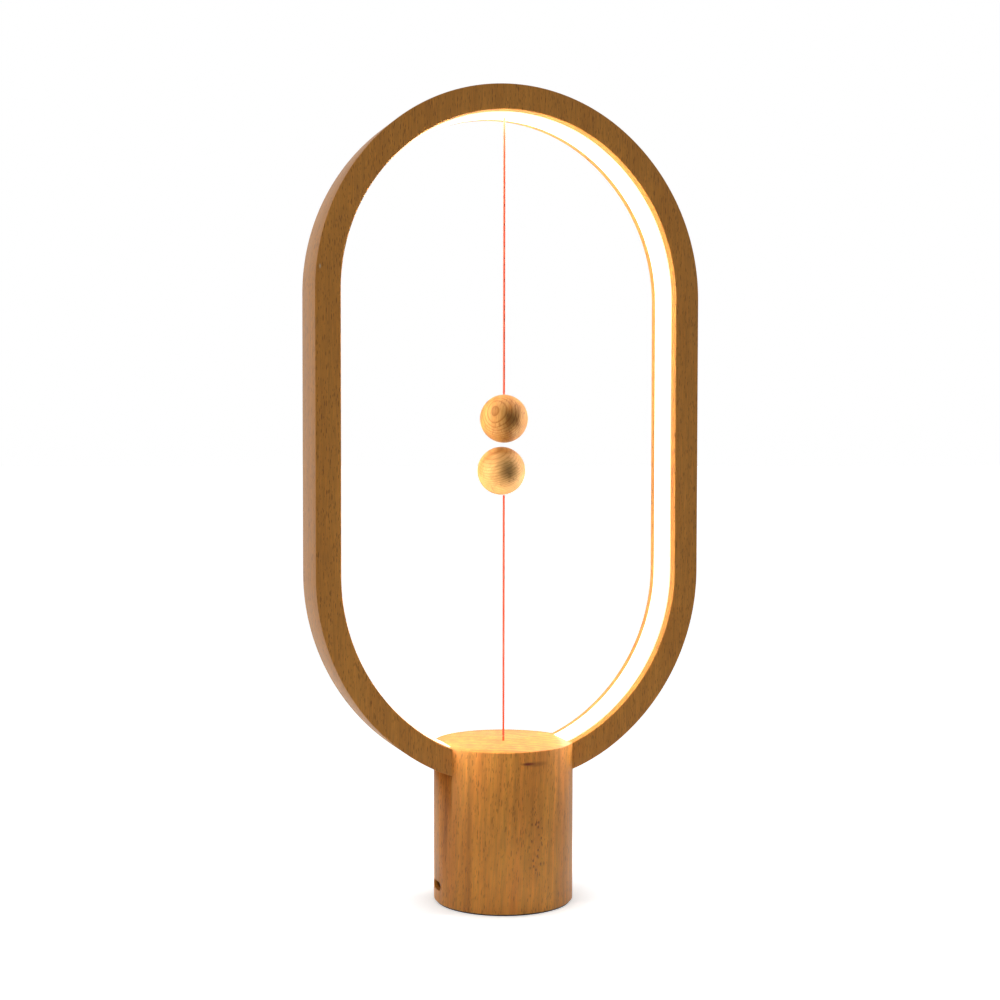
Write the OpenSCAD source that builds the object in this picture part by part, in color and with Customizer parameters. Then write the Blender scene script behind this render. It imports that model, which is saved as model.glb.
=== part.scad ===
// Magnetic balance lamp: a lit wooden ring on a round wooden base, with two wooden
// balls on threads that hold each other in mid air and switch the light.
// The ring lies in the XZ plane, its front faces -Y, and z = 0 is the table.

/* [Ring] */
// Half of the ring's outer width
ring_half_w = 99; // [92:0.5:106]
// Length of the ring's straight sides
ring_straight = 137; // [110:1:165]
// Extra height of the top arch over a half circle
arch_extra = 3.5; // [1:0.5:7]
// Extra depth of the bottom arch over a half circle
keel_extra = 5.5; // [3:0.5:8]
// Thickness of the ring, from outside to inside
ring_t = 12.5; // [11.5:0.5:14]
// Width of the ring, from front to back
ring_w = 31; // [29:0.5:33]
// How far the bottom of the ring lies below the top of the base
ring_sink = 19; // [18:0.5:21]
// Wood between a ring end and the screws that hold it
leg_land = 3.5; // [3:0.1:4]

/* [Light] */
// Wooden lip on each side of the diffuser
lip_w = 5.5; // [3.5:0.5:6]
// Depth of the rebate that the diffuser sits in
rebate_depth = 2.4; // [2:0.2:3]
// How far the diffuser stands proud of the lips
diffuser_proud = 0.4; // [0.2:0.1:1]
// How far the diffuser runs into the base
diffuser_tuck = 6; // [5:0.5:8]
// Width of the channel for the light tape
channel_w = 15; // [13:0.5:17]
// Depth of the channel for the light tape, from the inside of the ring
channel_depth = 8; // [7:0.5:8.5]
// Width of the light tape
tape_w = 10; // [8:0.5:12]
// Thickness of the light tape
tape_t = 0.4; // [0.3:0.1:0.6]
// Side length of one square light chip
chip_l = 5; // [3:0.5:6]
// Height of one light chip
chip_t = 1.6; // [0.8:0.2:2]
// Distance from one light chip to the next
chip_pitch = 16.7; // [12:0.1:20]

/* [Base] */
// Diameter of the base
base_d = 70; // [69:0.5:74]
// Height of the base's top above the table
base_h = 80; // [78:1:90]
// Small chamfer on the base's rims
base_chamfer = 0.5; // [0.3:0.1:1]
// Wall of the lower cavity
wall_t = 6.5; // [6:0.1:7]
// Width of the step that the ballast is screwed to
step_w = 5.5; // [5:0.1:6]
// Wall around the bottom cover
rim_t = 2.2; // [1.8:0.1:2.6]
// Wood over the wiring bore
top_plate_t = 8; // [7:0.5:9]
// How far the wiring bore opens under each ring end
bore_reach = 1; // [0.5:0.1:1.4]
// Wood between the switch chamber and the ring
shelf_t = 3; // [2.5:0.5:5]
// Thickness of the bottom cover
cover_t = 3; // [2.4:0.2:3.4]
// Thickness of the foot pad
foot_t = 0.8; // [0.6:0.1:1.2]
// How far the foot pad's edge stays inside the base's edge
foot_inset = 1; // [0.5:0.1:2]

/* [Balls and threads] */
// Diameter of each ball
ball_d = 24; // [22:0.5:28]
// Gap between the two balls
ball_gap = 2; // [1:0.5:5]
// Thread from the top of the base to the lower ball
lower_thread_l = 124; // [100:1:150]
// Diameter of the thread
thread_d = 1.2; // [1:0.1:1.4]
// Distance from a swing point to the surface that the thread leaves
pivot_reach = 1; // [0.9:0.1:1.5]
// Distance from a ball to the point it nods about
nod_reach = 0.8; // [0.75:0.05:1.2]
// Lean of the lower ball on its thread, in degrees towards the power socket's side
ball_lean = 6; // [0:0.5:8]
// Radius of each magnet
magnet_r = 4; // [3:0.5:5]
// Thickness of each magnet
magnet_t = 5; // [3:0.5:5.5]
// Thickness of the wooden plug over a magnet
ball_plug_t = 2; // [1.6:0.2:3]
// Radius of the knot in each ball
knot_r = 1.7; // [1.4:0.1:2]

/* [Pull switch] */
// Length of the switch's case
switch_l = 12.8; // [12.4:0.1:13.4]
// Height of the switch's case
switch_h = 6.5; // [6:0.1:7.5]
// Thickness of the switch's case
switch_w = 5.8; // [5.4:0.1:6.4]
// Distance from the thread to the near end of the case
switch_x = 2.5; // [2.2:0.1:3]
// Room above the case for its terminals
switch_drop = 4; // [3.8:0.1:5]
// Distance from the lever's pin to the far end of the case
pin_inset = 1.3; // [1.2:0.1:1.6]
// Thickness of the lever
lever_t = 0.4; // [0.3:0.1:0.6]
// Width of the lever
lever_w = 4; // [3.5:0.1:4.2]
// Radius of the lever's rolled eye
lever_eye_r = 1.1; // [1:0.05:1.2]
// Radius of the lever's pin
pin_r = 0.5; // [0.4:0.05:0.55]
// Distance from the button to the lever's pin
button_reach = 5.5; // [5:0.1:6.5]
// Radius of the button
button_r = 1; // [0.8:0.1:1.2]
// Length of the button
button_l = 3.5; // [3:0.1:4]
// Radius of the bead that lifts the lever
bead_r = 1.6; // [1.5:0.1:1.9]
// Sheet thickness of the switch bracket
bracket_t = 1.2; // [1:0.1:1.5]
// Distance from the chamber's wall to the end of the bracket's flange
flange_gap = 3.5; // [3:0.1:4]

/* [Electronics] */
// Height of the power socket's centre above the table
port_z = 9.5; // [9:0.1:11]
// Width of the slot in the base's side
port_w = 11.5; // [10.5:0.1:12.5]
// Height of the slot in the base's side
port_h = 4.4; // [4:0.1:5]
// Wood in front of the power socket
port_depth = 2.5; // [2.3:0.1:3]
// Width of the power socket's metal shell
socket_w = 9; // [8.6:0.1:9.2]
// Height of the power socket's metal shell
socket_h = 3.2; // [2.8:0.1:3.4]
// Length of the power socket's metal shell
socket_l = 7.4; // [7:0.1:8]
// Free ring around the circuit board
board_gap = 2; // [1.5:0.1:3]
// Thickness of the circuit board
board_t = 1.6; // [1.2:0.1:1.8]
// Width of the board's tongue under the power socket
tongue_w = 13; // [12:0.5:13.5]
// Thickness of the iron ballast
ballast_t = 10; // [8:0.5:11]
// Radius of the ballast's middle hole
ballast_hole_r = 8; // [7.4:0.1:10]
// Free height under the bead at the end of its travel
pull_room = 5; // [4:0.5:6]
// Diameter of a lead wire
wire_d = 1.2; // [0.9:0.1:1.4]

/* [Clearances] */
// Glue gap around the ring's ends, the diffuser and glued-in pieces
glue_gap = 0.1; // [0.05:0.05:0.2]
// Free gap around pieces that are put in loosely
loose_gap = 0.5; // [0.3:0.1:0.6]
// Running gap of the pin, the button and the moving thread
run_gap = 0.05; // [0.02:0.01:0.08]
// Travel of the thread when the switch lets go
pull_travel = 2; // [1:0.1:2.4]

/* [Hidden] */

// Roundness of the large and the small circles
round_fn = 240;
small_fn = 48;
// Overshoot of a cut past the surface that it opens
cut = 1;

// Wood, metal and plastic as the photograph shows them
beech = "#B9824A";
beech_ring = "#A9713A";
beech_ball = "#E3B06C";
coral = "#F0825F";
opal = "#FFF6E4";
steel = "#A9ABAE";
brass_colour = "#C9A552";
rubber_black = "#2B2B2B";

// Ring: each end of the oval is a three-centred arch. The centres of its two side arcs and
// of its end arc make 3-4-5 triangles, so 1.5, 2 and 2.5 times its extra height are their sides.
join_angle = atan2(4, 3);
arch_q = 1.5 * arch_extra;
arch_side_r = ring_half_w + arch_q;
arch_end_r = arch_side_r - 2.5 * arch_extra;
keel_q = 1.5 * keel_extra;
keel_side_r = ring_half_w + keel_q;
keel_end_r = keel_side_r - 2.5 * keel_extra;
ring_bottom_z = base_h - ring_sink;
keel_z = ring_bottom_z + ring_half_w + keel_extra;
arch_z = keel_z + ring_straight;
lamp_h = arch_z + ring_half_w + arch_extra;
inner_top_z = lamp_h - ring_t;
floor_inset = ring_t - channel_depth;
rebate_w = ring_w - 2 * lip_w;
diffuser_top_z = inner_top_z - diffuser_proud;

// Base, from the table upwards
base_r = base_d / 2;
cavity_r = base_r - wall_t;
chamber_r = cavity_r - step_w;
diffuser_end_x = base_r - diffuser_tuck;
board_r = cavity_r - board_gap;
cover_seat_r = base_r - rim_t;
cover_top_z = foot_t + cover_t;
board_top_z = port_z - socket_h / 2;
board_bottom_z = board_top_z - board_t;
shelf_z = ring_bottom_z - shelf_t;
switch_top_z = shelf_z - switch_drop;
switch_bottom_z = switch_top_z - switch_h;
bore_top_z = base_h - top_plate_t;

// Balls and threads
thread_r = thread_d / 2;
ball_r = ball_d / 2;
lower_ball_z = base_h + lower_thread_l + ball_r;
upper_ball_z = lower_ball_z + ball_d + ball_gap;
upper_pivot_z = diffuser_top_z - pivot_reach;
lower_pivot_z = base_h + pull_travel + pivot_reach;
upper_nod_z = upper_ball_z + ball_r + nod_reach;
lower_nod_z = lower_ball_z - ball_r - nod_reach;
plug_z = ball_r - ball_plug_t;
magnet_z = plug_z - magnet_t;
knot_z = magnet_z - knot_r - glue_gap;

// Anchor of the upper thread in the ring
ferrule_r = 1.5;
ferrule_depth = 3;
ferrule_show = 2;
anchor_floor_z = lamp_h - floor_inset;

// Bush that guides the lower thread under the base's top
bush_r = 3;
bush_flange_r = 4.5;
bush_flange_t = 1;
bush_h = 5;
thread_hole_r = thread_r + 0.4;

// Pull switch
switch_end_x = switch_x + switch_l;
lever_l = switch_end_x - pin_inset;
button_x = lever_l - button_reach;
lever_pin_z = switch_bottom_z + lever_eye_r - 2 * run_gap - lever_t;
lever_bottom_z = lever_pin_z - lever_eye_r;
lever_hole_r = thread_r + 0.5;
lever_tip_x = -lever_hole_r - 1;
bead_z = lever_bottom_z - 2 * run_gap - bead_r;
button_tip_z = lever_bottom_z + lever_t + run_gap;
ballast_top_z = bead_z - bead_r - pull_travel - pull_room;
ballast_bottom_z = ballast_top_z - ballast_t;
terminal_t = 0.5;
terminal_w = 3;
terminal_h = 3.2;
terminal_pitch = 5.08;

// Screws: [shank radius, length, head radius, head height]
leg_screw = [1.5, 12, 2.75, 2];
bracket_screw = [1.25, 9, 2.2, 1.4];
ballast_screw = [1.5, ballast_t + 8, 2.75, 2];
cover_screw = [1.1, 11, 2, 1.2];
board_screw = [1, 3.6, 1.9, 1.4];
switch_screw = [1, switch_w + bracket_t + 2, 1.9, 1.6];
nut_r = 2.2;
nut_t = 1.6;

// Places of the screws, worked out from what they hold
leg_screw_y = channel_w / 2 + 2;
leg_screw_x = sqrt(pow(chamber_r - leg_screw[2] - glue_gap, 2) - pow(leg_screw_y, 2));
leg_tip_x = leg_screw_x - leg_land;
wiring_bore_r = leg_tip_x + bore_reach;
flange_y = chamber_r - flange_gap;
flange_x = sqrt(pow(chamber_r - loose_gap, 2) - pow(flange_y, 2));
bracket_screw_x = [bracket_screw[2], flange_x - bracket_screw[2]];
bracket_screw_y = flange_y - bracket_screw[2];
switch_screw_pitch = 6.5;
switch_screw_x = [
    for (i = [-0.5, 0.5]) switch_x + switch_l / 2 + i * switch_screw_pitch
];
switch_screw_z = switch_top_z - switch_screw[2] - glue_gap;
terminal_x = [for (i = [-1 : 1]) switch_x + switch_l / 2 + i * terminal_pitch];
ballast_screw_r = cavity_r - step_w / 2;
cover_screw_r = (cavity_r + cover_seat_r) / 2;
cover_screw_z = foot_t + cover_screw[3] + glue_gap;
board_screw_r = board_r - 4;
ballast_screw_angles = [30, 150, 270];
cover_screw_angles = [90, 210, 330];
board_screw_angles = [45, 135, 225, 315];
post_r = 2.5;

// Power socket in the base's side, on the ring's left
socket_front_x = -base_r + port_depth + 0.2;
socket_back_x = socket_front_x + socket_l;
tongue_tip_x = socket_front_x + 1.8;
socket_skin = 0.3;
notch_top_z = port_z + socket_h / 2 + loose_gap;

// Parts of the driver circuit: [x, y, length, width, height]
board_parts = [
    [4, 4, 6, 5, 1.6], [-3, 8, 5, 5, 3], [-14, -10, 2, 1.2, 0.8], [-10, -10, 2, 1.2, 0.8],
    [-6, -12, 2, 1.2, 0.8]
];
capacitor = [12, -6, 3.2, 7];

// Lead wires, as points chosen by hand along their way down to the board
lead_rise = 1.2;
led_lead_y = 1.5;
led_drop_x = leg_tip_x - 3;
led_well_x = 5.5;
led_lead_route = [
    [-(leg_tip_x + 3), floor_z(leg_tip_x + 3) + lead_rise],
    [-(leg_tip_x - 1.5), floor_z(leg_tip_x + 3) + lead_rise - 0.2],
    [-led_drop_x, shelf_z], [-led_drop_x, ballast_top_z + 4],
    [-led_well_x, ballast_top_z - 1], [-led_well_x, board_top_z + run_gap]
];
switch_lead_x = [1, 4];
switch_lead_y = -4.5;
switch_lead_out = switch_screw[3] + wire_d / 2 + 2 * glue_gap;
switch_lead_rise = 1.6;

// Height of the light channel's floor over a given x beside the ring's ends
function floor_z(x) =
    keel_z - 2 * keel_extra - sqrt(pow(keel_end_r - floor_inset, 2) - pow(x, 2));

// Length of an arc of radius r over an angle
function arc_l(r, angle) = r * angle * PI / 180;

// Place on an arc: [x, z, angle], where the angle falls as the distance s grows
function arc_spot(cx, cz, r, start, s) =
    let(a = start - s / arc_l(r, 1)) [cx + r * cos(a), cz + r * sin(a), a];

// Place on the right half of the oval, at distance s from its top
function oval_spot(inset, s) =
    let(
        top_l = arc_l(arch_end_r - inset, 90 - join_angle),
        shoulder_l = top_l + arc_l(arch_side_r - inset, join_angle),
        side_l = shoulder_l + ring_straight,
        hip_l = side_l + arc_l(keel_side_r - inset, join_angle)
    )
    s < top_l ? arc_spot(0, arch_z + 2 * arch_extra, arch_end_r - inset, 90, s)
    : s < shoulder_l ? arc_spot(-arch_q, arch_z, arch_side_r - inset, join_angle, s - top_l)
    : s < side_l ? [ring_half_w - inset, arch_z - s + shoulder_l, 0]
    : s < hip_l ? arc_spot(-keel_q, keel_z, keel_side_r - inset, 0, s - side_l)
    : arc_spot(0, keel_z - 2 * keel_extra, keel_end_r - inset, -join_angle, s - hip_l);

// Length of half the oval, from its top down to a given x near its bottom
function half_oval_l(inset, end_x) =
    arc_l(arch_end_r + keel_end_r - 2 * inset, 90 - join_angle)
    + arc_l(arch_side_r + keel_side_r - 2 * inset, join_angle) + ring_straight
    - arc_l(keel_end_r - inset, asin(end_x / (keel_end_r - inset)));

// Disc that stands in the ring's plane
module upright_disc(r, width, x, z) {
    translate([x, width / 2, z])
        rotate([90, 0, 0])
            cylinder(r = r, h = width, $fn = round_fn);
}

// Rounded end of the oval, over the line where the straight sides stop
module oval_end(half_w, extra, width) {
    side_r = half_w + 1.5 * extra;
    end_r = side_r - 2.5 * extra;
    join_z = 0.8 * side_r;
    intersection() {
        upright_disc(side_r, width, 1.5 * extra, 0);
        upright_disc(side_r, width, -1.5 * extra, 0);
        translate([-side_r, -width / 2, 0])
            cube([2 * side_r, width, join_z]);
    }
    intersection() {
        upright_disc(end_r, width, 0, 2 * extra);
        translate([-end_r, -width / 2, join_z])
            cube([2 * end_r, width, end_r]);
    }
}

// Solid oval, drawn in from the ring's outline by inset
module oval(inset, width) {
    half_w = ring_half_w - inset;
    translate([0, 0, arch_z])
        oval_end(half_w, arch_extra, width);
    translate([-half_w, -width / 2, keel_z])
        cube([2 * half_w, width, ring_straight]);
    translate([0, 0, keel_z])
        mirror([0, 0, 1])
            oval_end(half_w, keel_extra, width);
}

// Band between two insets of the oval
module oval_band(outer_inset, inner_inset, width) {
    difference() {
        oval(outer_inset, width);
        oval(inner_inset, width + 2 * cut);
    }
}

// Block that cuts away the lowest part of the oval, between -half_gap and half_gap
module keel_gap(half_gap) {
    translate([-half_gap, -ring_w, ring_bottom_z - cut])
        cube([2 * half_gap, 2 * ring_w, ring_t + 2 * cut + ring_sink]);
}

// Bar along X with half-round edges
module stadium_bar(w, h, l) {
    translate([0, -(w - h) / 2, -h / 2])
        cube([l, w - h, h]);
    for (side = [-1, 1])
        translate([0, side * (w - h) / 2, 0])
            rotate([0, 90, 0])
                cylinder(d = h, h = l, $fn = small_fn);
}

// Screw that points up from z = 0, with its pan head below
module screw(size) {
    tip = size[0];
    translate([0, 0, -size[3]])
        cylinder(r = size[2], h = size[3], $fn = small_fn);
    cylinder(r = size[0], h = size[1] - tip, $fn = small_fn);
    translate([0, 0, size[1] - tip])
        cylinder(r1 = size[0], r2 = size[0] / 4, h = tip, $fn = small_fn);
}

// Hole for such a screw's shank
module screw_hole(size) {
    translate([0, 0, -cut])
        cylinder(r = size[0] + glue_gap / 2, h = size[1] + cut + glue_gap, $fn = small_fn);
}

// Copies of a piece on a circle
module on_circle(r, angles, z) {
    for (a = angles)
        rotate([0, 0, a])
            translate([r, 0, z])
                children();
}

// Copies of a piece at the four corners of a rectangle
module at_corners(x, y, z) {
    for (sx = [-1, 1], sy = [-1, 1])
        translate([sx * x, sy * y, z])
            children();
}

// Unit vector along v
function unit(v) = v / norm(v);

// Direction of a route at its point i, halfway between the stretches that meet there
function heading(route, i) =
    let(last = len(route) - 1)
    unit(
        (i > 0 ? unit(route[i] - route[i - 1]) : [0, 0, 0])
        + (i < last ? unit(route[i + 1] - route[i]) : [0, 0, 0])
    );

// Wire along a route that is never parallel to side_axis
module wire(route, d, side_axis) {
    sides = 8;
    rings = len(route);
    points = [
        for (i = [0 : rings - 1], k = [0 : sides - 1])
            let(
                t = heading(route, i),
                u = unit(cross(t, side_axis)),
                v = cross(t, u)
            )
            route[i] + d / 2 * (cos(k * 360 / sides) * u + sin(k * 360 / sides) * v)
    ];
    walls = [
        for (i = [0 : rings - 2], k = [0 : sides - 1])
            let(next = (k + 1) % sides)
            each [
                [i * sides + k, (i + 1) * sides + k, (i + 1) * sides + next],
                [i * sides + k, (i + 1) * sides + next, i * sides + next]
            ]
    ];
    start_cap = [for (k = [0 : sides - 1]) k];
    end_cap = [for (k = [sides - 1 : -1 : 0]) (rings - 1) * sides + k];
    polyhedron(points = points, faces = concat([start_cap], walls, [end_cap]));
}

// Turned beech base, bored from below, with a pocket on each side for a ring end
module base_body() {
    color(beech)
        difference() {
            translate([0, 0, foot_t])
                rotate_extrude($fn = round_fn)
                    polygon([
                        [0, 0], [base_r - base_chamfer, 0], [base_r, base_chamfer],
                        [base_r, base_h - foot_t - base_chamfer],
                        [base_r - base_chamfer, base_h - foot_t], [0, base_h - foot_t]
                    ]);
            translate([0, 0, foot_t - cut])
                cylinder(r = cover_seat_r, h = cover_t + cut, $fn = round_fn);
            translate([0, 0, foot_t])
                cylinder(r = cavity_r, h = ballast_top_z - foot_t, $fn = round_fn);
            translate([0, 0, foot_t])
                cylinder(r = chamber_r, h = shelf_z - foot_t, $fn = round_fn);
            translate([0, 0, foot_t])
                cylinder(r = wiring_bore_r, h = bore_top_z - foot_t, $fn = round_fn);
            translate([0, 0, bore_top_z - cut])
                cylinder(r = bush_r, h = bush_h + cut, $fn = small_fn);
            cylinder(r = thread_hole_r, h = base_h + cut, $fn = small_fn);
            difference() {
                oval_band(-glue_gap, ring_t + glue_gap, ring_w + 2 * glue_gap);
                keel_gap(leg_tip_x - glue_gap);
                translate([-2 * ring_half_w, -ring_w, base_h + cut])
                    cube([4 * ring_half_w, 2 * ring_w, lamp_h]);
            }
            difference() {
                oval_band(ring_t, ring_t + diffuser_proud + glue_gap, rebate_w);
                keel_gap(diffuser_end_x - glue_gap);
                translate([-2 * ring_half_w, -ring_w, base_h + cut])
                    cube([4 * ring_half_w, 2 * ring_w, lamp_h]);
            }
            at_corners(leg_screw_x, leg_screw_y, shelf_z)
                screw_hole(leg_screw);
            for (x = bracket_screw_x)
                translate([x, bracket_screw_y, shelf_z - bracket_t])
                    screw_hole(bracket_screw);
            on_circle(ballast_screw_r, ballast_screw_angles, ballast_bottom_z)
                screw_hole(ballast_screw);
            on_circle(cover_screw_r, cover_screw_angles, cover_screw_z)
                screw_hole(cover_screw);
            translate([-base_r - cut, 0, port_z])
                stadium_bar(port_w, port_h, port_depth + 2 * cut);
            translate([-base_r + port_depth, -tongue_w / 2 - loose_gap, cover_top_z - cut])
                cube([wall_t, tongue_w + 2 * loose_gap, notch_top_z - cover_top_z + cut]);
        }
}

// Beech ring: an open oval with a rebate and a light channel round its inside
module ring_frame() {
    color(beech_ring)
        difference() {
            oval_band(0, ring_t, ring_w);
            oval(ring_t - rebate_depth, rebate_w);
            oval(floor_inset, channel_w);
            keel_gap(leg_tip_x);
            translate([0, 0, anchor_floor_z - cut])
                cylinder(r = ferrule_r + glue_gap, h = ferrule_depth + cut, $fn = small_fn);
            at_corners(leg_screw_x, leg_screw_y, shelf_z)
                screw_hole(leg_screw);
        }
}

// Opal strip that closes the light channel
module light_diffuser() {
    color(opal)
        difference() {
            oval_band(ring_t - rebate_depth + glue_gap, ring_t + diffuser_proud,
                rebate_w - 2 * glue_gap);
            keel_gap(diffuser_end_x);
            translate([0, 0, diffuser_top_z - cut])
                cylinder(r = 2 * thread_r, h = rebate_depth + 2 * cut, $fn = small_fn);
        }
}

// Flexible circuit tape on the channel's floor
module led_tape() {
    color("#F4F1E6")
        difference() {
            oval_band(floor_inset, floor_inset + tape_t, tape_w);
            keel_gap(leg_tip_x + 4);
            translate([0, 0, anchor_floor_z - tape_t - cut])
                cylinder(r = ferrule_r + loose_gap, h = tape_t + 2 * cut, $fn = small_fn);
        }
}

// Square light chips at a steady pitch along the tape
module led_chips() {
    inset = floor_inset + tape_t;
    chip_count = floor((half_oval_l(inset, diffuser_end_x) - chip_l) / chip_pitch + 0.5);
    color("#FFE9A8")
        for (side = [0, 1], i = [0 : chip_count - 1]) {
            spot = oval_spot(inset, (i + 0.5) * chip_pitch);
            mirror([side, 0, 0])
                translate([spot[0], 0, spot[1]])
                    rotate([0, -spot[2], 0])
                        translate([-run_gap - chip_t / 2, 0, 0])
                            cube([chip_t, chip_l, chip_l], center = true);
        }
}

// Screws that hold the ring's ends from inside the base
module leg_screws() {
    color(steel)
        at_corners(leg_screw_x, leg_screw_y, shelf_z)
            screw(leg_screw);
}

// Small brass tube in the ring that the upper thread is glued into
module anchor_ferrule() {
    color(brass_colour)
        translate([0, 0, anchor_floor_z - ferrule_show])
            difference() {
                cylinder(r = ferrule_r, h = ferrule_show + ferrule_depth - glue_gap, $fn = small_fn);
                translate([0, 0, -cut])
                    cylinder(r = thread_r + run_gap, h = lamp_h, $fn = small_fn);
            }
}

// Fixed start of the upper thread, from the ferrule to just under the diffuser
module anchor_thread() {
    start_z = upper_pivot_z + thread_r + run_gap;
    color(coral)
        translate([0, 0, start_z])
            cylinder(r = thread_r, h = anchor_floor_z + 2 - start_z, $fn = small_fn);
}

// Straight thread with a round end at each turning point
module thread_length(from_z, to_z) {
    color(coral) {
        translate([0, 0, from_z])
            cylinder(r = thread_r, h = to_z - from_z, $fn = small_fn);
        for (z = [from_z, to_z])
            translate([0, 0, z])
                sphere(r = thread_r, $fn = small_fn);
    }
}

// Thread that the upper ball hangs on
module upper_thread() {
    thread_length(upper_nod_z, upper_pivot_z);
}

// Thread that holds the lower ball down
module lower_thread() {
    thread_length(lower_pivot_z, lower_nod_z);
}

// Sets a ball's piece in place: its thread side is local -Z and its magnet side +Z
module at_upper_ball() {
    translate([0, 0, upper_ball_z])
        mirror([0, 0, 1])
            children();
}

module at_lower_ball() {
    translate([0, 0, lower_nod_z])
        rotate([0, -ball_lean, 0])
            translate([0, 0, lower_ball_z - lower_nod_z])
                children();
}

// Turned beech ball, bored for the thread, its knot, the magnet and the plug
module ball() {
    color(beech_ball)
        difference() {
            sphere(r = ball_r, $fn = round_fn);
            translate([0, 0, -ball_r - cut])
                cylinder(r = thread_r + glue_gap, h = ball_r + cut + knot_z, $fn = small_fn);
            translate([0, 0, knot_z - knot_r - glue_gap])
                cylinder(r = knot_r + glue_gap, h = 2 * knot_r + 2 * glue_gap, $fn = small_fn);
            translate([0, 0, magnet_z])
                cylinder(r = magnet_r + glue_gap, h = ball_r, $fn = small_fn);
        }
}

// Disc magnet of a ball
module magnet() {
    color(steel)
        translate([0, 0, magnet_z])
            cylinder(r = magnet_r, h = magnet_t, $fn = small_fn);
}

// Wooden plug that closes the magnet's pocket and follows the ball's curve
module ball_plug() {
    color(beech_ball)
        intersection() {
            sphere(r = ball_r, $fn = round_fn);
            translate([0, 0, plug_z])
                cylinder(r = magnet_r + glue_gap / 2, h = ball_r, $fn = small_fn);
        }
}

// End of the thread inside a ball, with its knot
module knot() {
    start_z = -ball_r - nod_reach + thread_r + run_gap;
    color(coral) {
        translate([0, 0, start_z])
            cylinder(r = thread_r, h = knot_z - start_z, $fn = small_fn);
        translate([0, 0, knot_z])
            sphere(r = knot_r, $fn = small_fn);
    }
}

module upper_ball() {
    at_upper_ball()
        ball();
}

module upper_magnet() {
    at_upper_ball()
        magnet();
}

module upper_ball_plug() {
    at_upper_ball()
        ball_plug();
}

module upper_knot() {
    at_upper_ball()
        knot();
}

module lower_ball() {
    at_lower_ball()
        ball();
}

module lower_magnet() {
    at_lower_ball()
        magnet();
}

module lower_ball_plug() {
    at_lower_ball()
        ball_plug();
}

module lower_knot() {
    at_lower_ball()
        knot();
}

// Lower end of the pull thread, from the bead up to just over the base's top
module pull_thread() {
    end_z = lower_pivot_z - thread_r - run_gap;
    color(coral)
        translate([0, 0, bead_z])
            cylinder(r = thread_r, h = end_z - bead_z, $fn = small_fn);
}

// Crimped bead that lifts the switch's lever
module pull_bead() {
    color(brass_colour)
        difference() {
            translate([0, 0, bead_z])
                sphere(r = bead_r, $fn = small_fn);
            translate([0, 0, bead_z])
                cylinder(r = thread_r, h = bead_r + cut, $fn = small_fn);
        }
}

// Flanged nylon bush, pressed up into the base's top plate
module thread_bush() {
    color("#E8E4DA")
        difference() {
            union() {
                translate([0, 0, bore_top_z - bush_flange_t])
                    cylinder(r = bush_flange_r, h = bush_flange_t, $fn = small_fn);
                translate([0, 0, bore_top_z - bush_flange_t])
                    cylinder(r = bush_r - run_gap, h = bush_flange_t + bush_h - run_gap,
                        $fn = small_fn);
            }
            translate([0, 0, bore_top_z - bush_flange_t - cut])
                cylinder(r = thread_r + run_gap, h = bush_h + 2 * cut, $fn = small_fn);
        }
}

// Case of the snap switch, hung upside down so that its button faces down
module switch_body() {
    notch_r = lever_eye_r + 0.3;
    color(rubber_black)
        difference() {
            translate([switch_x, -switch_w / 2, switch_bottom_z])
                cube([switch_l, switch_w, switch_h]);
            translate([lever_l - notch_r, -lever_w / 2 - glue_gap, switch_bottom_z - cut])
                cube([switch_end_x - lever_l + notch_r + cut, lever_w + 2 * glue_gap,
                    lever_pin_z + notch_r - switch_bottom_z + cut]);
            translate([lever_l, switch_w, lever_pin_z])
                rotate([90, 0, 0])
                    cylinder(r = pin_r + run_gap / 2, h = 2 * switch_w, $fn = small_fn);
            translate([button_x, 0, switch_bottom_z - cut])
                cylinder(r = button_r + run_gap, h = button_l + 2 * cut, $fn = small_fn);
            for (x = switch_screw_x)
                translate([x, switch_w, switch_screw_z])
                    rotate([90, 0, 0])
                        cylinder(r = switch_screw[0] + run_gap, h = 2 * switch_w, $fn = small_fn);
        }
}

// Solder blades on top of the hung switch
module switch_terminals() {
    color(brass_colour)
        for (x = terminal_x)
            translate([x - terminal_t / 2, -terminal_w / 2, switch_top_z])
                cube([terminal_t, terminal_w, terminal_h]);
}

// Button of the switch, with a round tip that rests on the lever
module switch_button() {
    color("#B5352B")
        translate([button_x, 0, button_tip_z + button_r]) {
            cylinder(r = button_r, h = button_l - button_r, $fn = small_fn);
            sphere(r = button_r, $fn = small_fn);
        }
}

// Sheet lever with a rolled eye at its pin and a hole for the thread at its tip
module switch_lever() {
    color(steel)
        difference() {
            union() {
                translate([lever_tip_x, -lever_w / 2, lever_bottom_z])
                    cube([lever_l - lever_tip_x, lever_w, lever_t]);
                translate([lever_l, lever_w / 2, lever_pin_z])
                    rotate([90, 0, 0])
                        cylinder(r = lever_eye_r, h = lever_w, $fn = small_fn);
            }
            translate([lever_l, lever_w, lever_pin_z])
                rotate([90, 0, 0])
                    cylinder(r = pin_r + run_gap, h = 2 * lever_w, $fn = small_fn);
            translate([0, 0, lever_bottom_z - cut])
                cylinder(r = lever_hole_r, h = lever_t + 2 * cut, $fn = small_fn);
        }
}

// Pin that the lever turns on
module lever_pin() {
    color(steel)
        translate([lever_l, switch_w / 2, lever_pin_z])
            rotate([90, 0, 0])
                cylinder(r = pin_r, h = switch_w, $fn = small_fn);
}

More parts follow.
